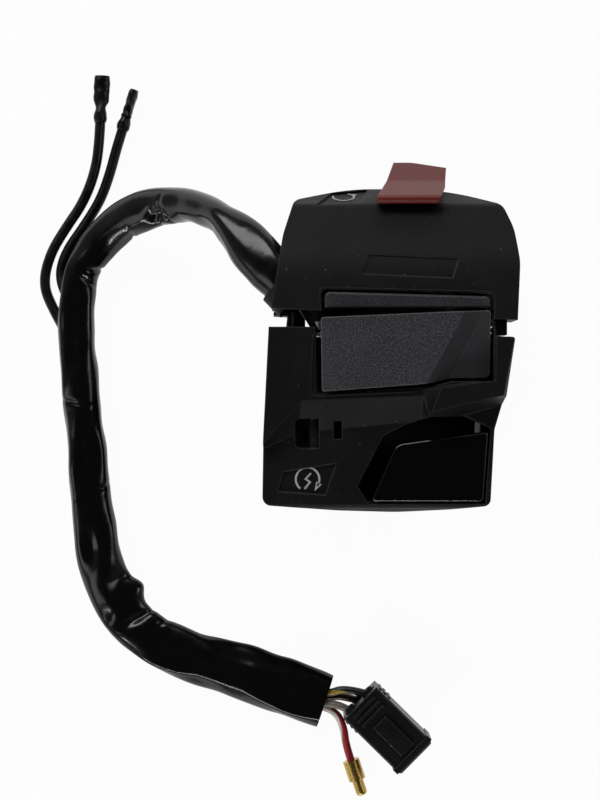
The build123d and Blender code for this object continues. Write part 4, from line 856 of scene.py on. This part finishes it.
def stroke(path, wide, taper=1.0, thick=INK_MM):
    """A ribbon along a flat path, thick to each side of its plane and wide across it.

    Each corner is mitred: the offset there is wide / (2 cos(half the turn)).
    """
    path = np.array(path, float)
    run = np.diff(path, axis=0)
    run /= np.linalg.norm(run, axis=1, keepdims=True)
    before, after = np.vstack([run[:1], run]), np.vstack([run, run[-1:]])
    middle = before + after
    middle /= np.linalg.norm(middle, axis=1, keepdims=True)
    side = np.stack([-middle[:, 1], middle[:, 0]], 1)
    spread = 1 / np.maximum((middle * before).sum(1), 0.4)
    half = wide / 2 * np.linspace(1, taper, len(path)) * spread
    left, right = path + side * half[:, None], path - side * half[:, None]
    low, high = np.full((len(path), 1), -thick), np.full((len(path), 1), thick)
    return np.stack([np.hstack([left, high]), np.hstack([right, high]),
                     np.hstack([right, low]), np.hstack([left, low])], 1)


def laid_on(grid, origin, across, up):
    """Carries flat coordinates (u, v, n) to origin + u x across + v x up + n x (across x up)."""
    across, up = np.array(across, float), np.array(up, float)
    return np.array(origin) + grid @ np.stack([across, up, np.cross(across, up)])


def arc(radius, start, stop, count=40):
    """Points on a circle between two angles in degrees."""
    turn = np.radians(np.linspace(start, stop, count))
    return np.stack([radius * np.cos(turn), radius * np.sin(turn)], 1)


print("points of a quarter arc", len(arc(1.0, 0, 90, count=10)))

# %% Printed symbols
# Two-part ink from a silicone pad: matt, pale grey, thin enough to show the grain under it
ink = moulded("pale_pad_print_ink", "#a9a9a6", "#b5b5b2", 0.5, grain_mm=0.2, edge_mm=0.01,
              wear_and_highlight=0.0)
START_PAD = (-17.3, -32.55, 21.0)
RUN_X = -9.4
RUN_UP_SHOULDER = 6.0
RUN_PAD_DEEP = 0.35
start_strokes = [
    stroke(arc(2.5, -36, 232), LINE_MM),
    stroke([(2.42, -0.8), (2.12, -1.35), (1.82, -1.9), (1.52, -2.45)], 1.3, taper=0.05),
    stroke([(0.75, 1.3), (-0.42, 0.05), (0.53, -0.6), (-0.62, -2.05)], 0.38),
]
start_origin = (*START_PAD[:2], START_PAD[2] + 2 * INK_MM)
make_piece(
    "start_symbol_ink", [laid_on(g, start_origin, (1, 0, 0), (0, 1, 0)) for g in start_strokes],
    ink, sharp=30,
)
# The shoulder's front and rear edge as y and z: the run symbol lies on the slope between them
shoulder_front, shoulder_rear = np.array([26.35, 14.25]), np.array([31.0, 4.0])
slope = (shoulder_rear - shoulder_front) / np.linalg.norm(shoulder_rear - shoulder_front)
run_normal = np.array([-slope[1], slope[0]])
run_centre = (shoulder_front + slope * RUN_UP_SHOULDER
              - run_normal * (RUN_PAD_DEEP - 2 * INK_MM))
run_strokes = [
    stroke(arc(2.3, 160, 425), LINE_MM),
    stroke([(2.75, 1.2), (2.15, 1.55), (1.55, 1.9), (0.95, 2.25)], 1.2, taper=0.05),
]
make_piece(
    "run_symbol_ink",
    [laid_on(g, (RUN_X, *run_centre), (1, 0, 0), (0, *slope)) for g in run_strokes],
    ink, sharp=30,
)
print("symbols", len(start_strokes) + len(run_strokes), "strokes")

# %% [markdown]
# ## Ribs and seals of the connector
# The connector's shell has grip ribs near its rear and a collar round its mouth, which stiffens
# the thin wall. Behind it a ribbed rubber seal grips each wire. The ribs and the collar are the
# same kind of ribbon as the printed strokes, only thicker, and a seal is a lathe profile.

# %% Ribs and seals of the connector
CONNECTOR_TURN = math.radians(-44.6)
CONNECTOR_HALF = 5.25
RIB_WIDE = 0.7
RIB_THICK = 0.32
RIBS_AT = (1.3, 2.7, 4.1)
COLLAR_WIDE = 0.6
COLLAR_THICK = 0.7
COLLAR_AT = 16.6
connector_along = np.array([math.cos(CONNECTOR_TURN), math.sin(CONNECTOR_TURN), 0.0])
connector_right = np.array([-math.sin(CONNECTOR_TURN), math.cos(CONNECTOR_TURN), 0.0])
shell_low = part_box("connector_shell")[0][2] / MM
connector_rear = np.array([-5.2, -84.75, shell_low + CONNECTOR_HALF])


def on_connector(grid, along):
    """Carries (right, up, along) coordinates to the connector, so many mm from its rear."""
    return laid_on(grid, connector_rear + along * connector_along, connector_right, (0, 0, 1))


def lathe(profile, sides):
    """Turns a profile of radii and heights about z: (radius cos t, radius sin t, height)."""
    turn = full_turn(sides)
    return np.stack([
        profile[:, :1] * np.cos(turn), profile[:, :1] * np.sin(turn), profile[:, 1:] + 0 * turn,
    ], -1)


ribbed_sides = [
    [(-3.4, CONNECTOR_HALF), (3.4, CONNECTOR_HALF)],
    [(-CONNECTOR_HALF, -3.2), (-CONNECTOR_HALF, 3.2)],
    [(CONNECTOR_HALF, -3.2), (CONNECTOR_HALF, 3.2)],
]
ribs = [
    on_connector(stroke(side, RIB_WIDE, thick=RIB_THICK), along)
    for side in ribbed_sides for along in RIBS_AT
]
around_mouth = np.array([(-1, -0.85), (-1, 1), (1, 1), (1, -0.85)]) * CONNECTOR_HALF
ribs.append(on_connector(stroke(around_mouth, COLLAR_WIDE, thick=COLLAR_THICK), COLLAR_AT))
connector_ribs = make_piece("connector_ribs", ribs, plug_black, sharp=30)
seal_profile = np.array([
    (0.95, -0.9), (1.15, -0.8), (1.3, -0.6), (1.15, -0.4), (1.3, -0.2), (1.3, 0.2),
])
seal_grid = lathe(seal_profile, 28)
seal_places = ((2.9, 1.4), (0.0, -2.4), (-2.9, 1.0))
wire_seals = make_piece(
    "connector_wire_seals",
    [on_connector(seal_grid + np.array([x, y, 0.0]), 0.0) for x, y in seal_places],
    grommet_black,
)
print("ribs and collar", len(ribs), "seals", len(seal_places))

# %% [markdown]

# %% [markdown]
# ## Springs and plunger
# A key's return spring is squeezed when the key goes down, and so is the rubber plunger of the
# small switch under the broad key. Each gets a new piece of the same size in place of its CAD
# solid. A real spring's end turns lie flatter, so the helix climbs a little slower at both ends.

# %% Springs and plunger
WIRE_MM = 0.6
WIRE_SIDES = 12
COIL_TURNS = 5
TURN_STEPS = 36
END_SHARE = 0.16
END_CLIMB = 0.13


def node_box(name):
    """An engineering part's middle and size in millimetres."""
    low, high = (np.array(corner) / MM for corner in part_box(name))
    return (low + high) / 2, high - low


def coil(middle, size):
    """A wire's rings on a helix (r cos t, r sin t, climb(t)), with flatter turns at both ends."""
    turn = np.linspace(0, 2 * np.pi * COIL_TURNS, TURN_STEPS * COIL_TURNS + 1)[:, None]
    share = turn / turn[-1]
    radius = min(size[0], size[1]) / 2 - WIRE_MM / 2
    climb = np.interp(
        share, [0, END_SHARE, 1 - END_SHARE, 1], [0, END_CLIMB, 1 - END_CLIMB, 1],
    ) * (size[2] - WIRE_MM)
    section = full_turn(WIRE_SIDES)
    out = radius + WIRE_MM / 2 * np.cos(section)
    return np.stack([
        middle[0] + out * np.cos(turn), middle[1] + out * np.sin(turn),
        middle[2] - size[2] / 2 + WIRE_MM / 2 + climb + WIRE_MM / 2 * np.sin(section),
    ], -1)


starter_middle, starter_size = node_box("starter_return_spring")
starter_coil = make_piece(
    "starter_spring_coil", [coil(starter_middle, starter_size)], steel,
)
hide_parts("starter_return_spring")
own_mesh(starter_coil)

# %% Spring and plunger under the mode key
mode_middle, mode_size = node_box("mode_return_spring")
mode_coil = make_piece("mode_spring_coil", [coil(mode_middle, mode_size)], steel)
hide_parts("mode_return_spring")
plunger_middle, plunger_size = node_box("mode_tact_plunger")
plunger_profile = np.array([(1.0, -0.5), (1.0, 0.25), (0.92, 0.40), (0.70, 0.5)])
plunger = make_piece(
    "mode_plunger_cap",
    [plunger_middle + lathe(plunger_profile, 36) * (plunger_size * [0.5, 0.5, 1])],
    grommet_black,
)
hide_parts("mode_tact_plunger")
# Each piece takes a mesh of its own
for piece, middle, size in (
    (mode_coil, mode_middle, mode_size), (plunger, plunger_middle, plunger_size),
):
    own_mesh(piece)

# %% [markdown]
# ## Raised rims
# The mould leaves a soft raised bead round the cut-out of the trim strip, and another round the
# mode key's recess. A bead is a small half-round that follows the housing's skin, so its height
# at each point is found by casting a ray down on the engineering mesh.

# %% Skins and beads
RAY_FROM = 0.05
BEAD_SIDES = 16
SMOOTHED_OVER = 5
FADE_POINTS = 4
END_SIZE = 0.15
BEAD_STEP = 0.4


def skin_of(name):
    """A ray-casting tree of an engineering part."""
    mesh = nodes[name].data
    points = np.empty(len(mesh.vertices) * 3)
    mesh.vertices.foreach_get("co", points)
    faces = [tuple(polygon.vertices) for polygon in mesh.polygons]
    return BVHTree.FromPolygons(points.reshape(-1, 3).tolist(), faces)


def rounded_path(corners, radius):
    """A flat path whose corners are curves (1-t)^2 a + 2t(1-t) corner + t^2 b, where a and b lie
    radius away from the corner."""
    corners = np.array(corners, float)
    pieces = [corners[:1]]
    t = np.linspace(0, 1, 7)[:, None]
    for before, here, after in zip(corners, corners[1:], corners[2:]):
        a = here + (before - here) / np.linalg.norm(before - here) * radius
        b = here + (after - here) / np.linalg.norm(after - here) * radius
        pieces.append((1 - t) ** 2 * a + 2 * t * (1 - t) * here + t ** 2 * b)
    path = np.concatenate(pieces + [corners[-1:]])
    gone = run_length(path)
    at = np.linspace(0, gone[-1], int(gone[-1] / BEAD_STEP))
    return np.stack([np.interp(at, gone, path[:, k]) for k in range(2)], 1)


def bead(name, corners, radius, tree, wide, high):
    """A half-round bead on a skin: wide/2 x cos across it, high x sin up, and ends that fade."""
    flat = rounded_path(corners, radius)
    down = Vector((0, 0, -1))
    hits = [tree.ray_cast(Vector((x * MM, y * MM, RAY_FROM)), down)[0] for x, y in flat]
    level = np.pad([hit.z / MM for hit in hits], SMOOTHED_OVER // 2, mode="edge")
    level = np.convolve(level, np.ones(SMOOTHED_OVER) / SMOOTHED_OVER, mode="valid")
    run = np.gradient(flat, axis=0)
    run /= np.linalg.norm(run, axis=1, keepdims=True)
    side = np.stack([-run[:, 1], run[:, 0]], 1)
    turn = full_turn(BEAD_SIDES)
    from_end = np.minimum(np.arange(len(flat)), np.arange(len(flat))[::-1])
    fade = np.clip(from_end / FADE_POINTS, END_SIZE, 1)[:, None]
    over = wide / 2 * fade * np.cos(turn)
    rise = high * fade * np.sin(turn)
    grid = np.stack([
        flat[:, None, 0] + side[:, None, 0] * over,
        flat[:, None, 1] + side[:, None, 1] * over,
        level[:, None] + rise,
    ], -1)
    return make_piece(name, [grid], shell_black, sharp=60)


print("points of a rounded corner", len(rounded_path([(0, 0), (5, 0), (5, 5)], 1.0)))

# %% Raised rims
cutout_bead = bead(
    "trim_cutout_bead", [(-14.75, 4.2), (-14.75, 7.95), (22.3, 6.95), (22.3, 1.9)],
    radius=1.2, tree=skin_of("upper_housing"), wide=0.55, high=0.22,
)
recess_bead = bead(
    "mode_recess_bead", [(-16.1, -1.2), (-16.7, -14.9), (6.4, -13.9)],
    radius=1.5, tree=skin_of("lower_housing"), wide=0.50, high=0.20,
)
print("beads on the housing", cutout_bead.name, recess_bead.name)

# %% [markdown]
# ## Bench
# The cluster lies on a white bench. To the camera, and in what shiny parts reflect, it glows
# white, yet a small share of the real, shadowed surface is kept, so a soft contact shadow shows.

# %% Bench
BENCH_HALF_M = 2.0
BENCH_DROP = 0.02
GLOW_SHARE = 0.96
bench_z = (FLOOR_Z - BENCH_DROP) * MM
bench_mesh = bpy.data.meshes.new("bench")
bench_corners = np.array([(-1, -1), (1, -1), (1, 1), (-1, 1)]) * BENCH_HALF_M
bench_mesh.from_pydata([(x, y, bench_z) for x, y in bench_corners], [], [(0, 1, 2, 3)])
bench = bpy.data.objects.new("bench", bench_mesh)
bpy.context.scene.collection.objects.link(bench)
# Painted board: a flat, even white
bench_white, tree, _ = new_material("white_bench")
rays = add_node(tree, "ShaderNodeLightPath")
seen = add_node(tree, "ShaderNodeMath", {"operation": "MAXIMUM"}, {
    0: rays.outputs["Is Camera Ray"], 1: rays.outputs["Is Glossy Ray"],
})
seen = add_node(tree, "ShaderNodeMath", {"operation": "MAXIMUM"}, {
    0: seen.outputs[0], 1: rays.outputs["Is Transmission Ray"],
})
share = add_node(tree, "ShaderNodeMath", {"operation": "MULTIPLY"}, {
    0: seen.outputs[0], 1: GLOW_SHARE,
})
paint = add_node(tree, "ShaderNodeBsdfDiffuse", inputs={"Color": linear("#f4f4f4")})
glow = add_node(tree, "ShaderNodeEmission", inputs={"Color": (1, 1, 1, 1), "Strength": 1.0})
mixed = add_node(tree, "ShaderNodeMixShader", inputs={
    "Fac": share.outputs[0], 1: paint.outputs[0], 2: glow.outputs[0],
})
add_node(tree, "ShaderNodeOutputMaterial", inputs={"Surface": mixed.outputs[0]})
bench_mesh.materials.append(bench_white)
print("bench at", round(bench_z / MM, 2), "mm")

# %% [markdown]
# ## Light
# The main light is a wide, soft window beyond the cluster's top, a little to the left. Two weak
# fills stand at the left and the right, and a long low strip in front of the cluster gives the
# edges that face the viewer a thin line. The room around them is dim: palest at the horizon, and
# nearly dark overhead, so that the black plastic stays black. Only the camera sees it white.

# %% Room
HORIZON_GLOW = 0.34
OVERHEAD_GLOW = 0.035
world = bpy.data.worlds.new("dim_room")
bpy.context.scene.world = world
world.use_nodes = True
tree = world.node_tree
tree.nodes.clear()
rays = add_node(tree, "ShaderNodeLightPath")
facing = add_node(tree, "ShaderNodeTexCoord").outputs["Generated"]
height = add_node(tree, "ShaderNodeSeparateXYZ", inputs={0: facing}).outputs["Z"]
dome = add_node(tree, "ShaderNodeMapRange", {"interpolation_type": "SMOOTHSTEP"}, {
    "Value": height, "From Min": 0.15, "From Max": 0.85,
    "To Min": HORIZON_GLOW, "To Max": OVERHEAD_GLOW,
})
room = add_node(tree, "ShaderNodeBackground", inputs={
    "Color": linear("#d8dade"), "Strength": dome.outputs["Result"],
})
white = add_node(tree, "ShaderNodeBackground", inputs={"Color": (1, 1, 1, 1), "Strength": 1.0})
mixed = add_node(tree, "ShaderNodeMixShader", inputs={
    "Fac": rays.outputs["Is Camera Ray"], 1: room.outputs[0], 2: white.outputs[0],
})
add_node(tree, "ShaderNodeOutputWorld", inputs={"Surface": mixed.outputs[0]})
print("room glow", HORIZON_GLOW, "to", OVERHEAD_GLOW)


# %% Lamps
AIM = Vector((-0.02, -0.02, 0.0))


def panel(name, place, size, watts):
    """A white oblong area light at a place in metres, turned to the cluster."""
    data = bpy.data.lights.new(name, "AREA")
    data.shape = "RECTANGLE"
    data.size, data.size_y = size
    data.energy = watts
    lamp = bpy.data.objects.new(name, data)
    lamp.location = place
    lamp.rotation_euler = (AIM - Vector(place)).to_track_quat("-Z", "Y").to_euler()
    bpy.context.scene.collection.objects.link(lamp)


panel("top_window", (-0.42, 0.95, 0.70), (1.0, 0.5), 8.5)
panel("left_fill", (-1.0, -0.4, 0.6), (0.5, 0.5), 1.2)
panel("front_strip", (-0.30, -0.95, 0.50), (0.9, 0.06), 4.8)
panel("right_fill", (0.9, 0.2, 0.8), (0.5, 0.5), 1.8)
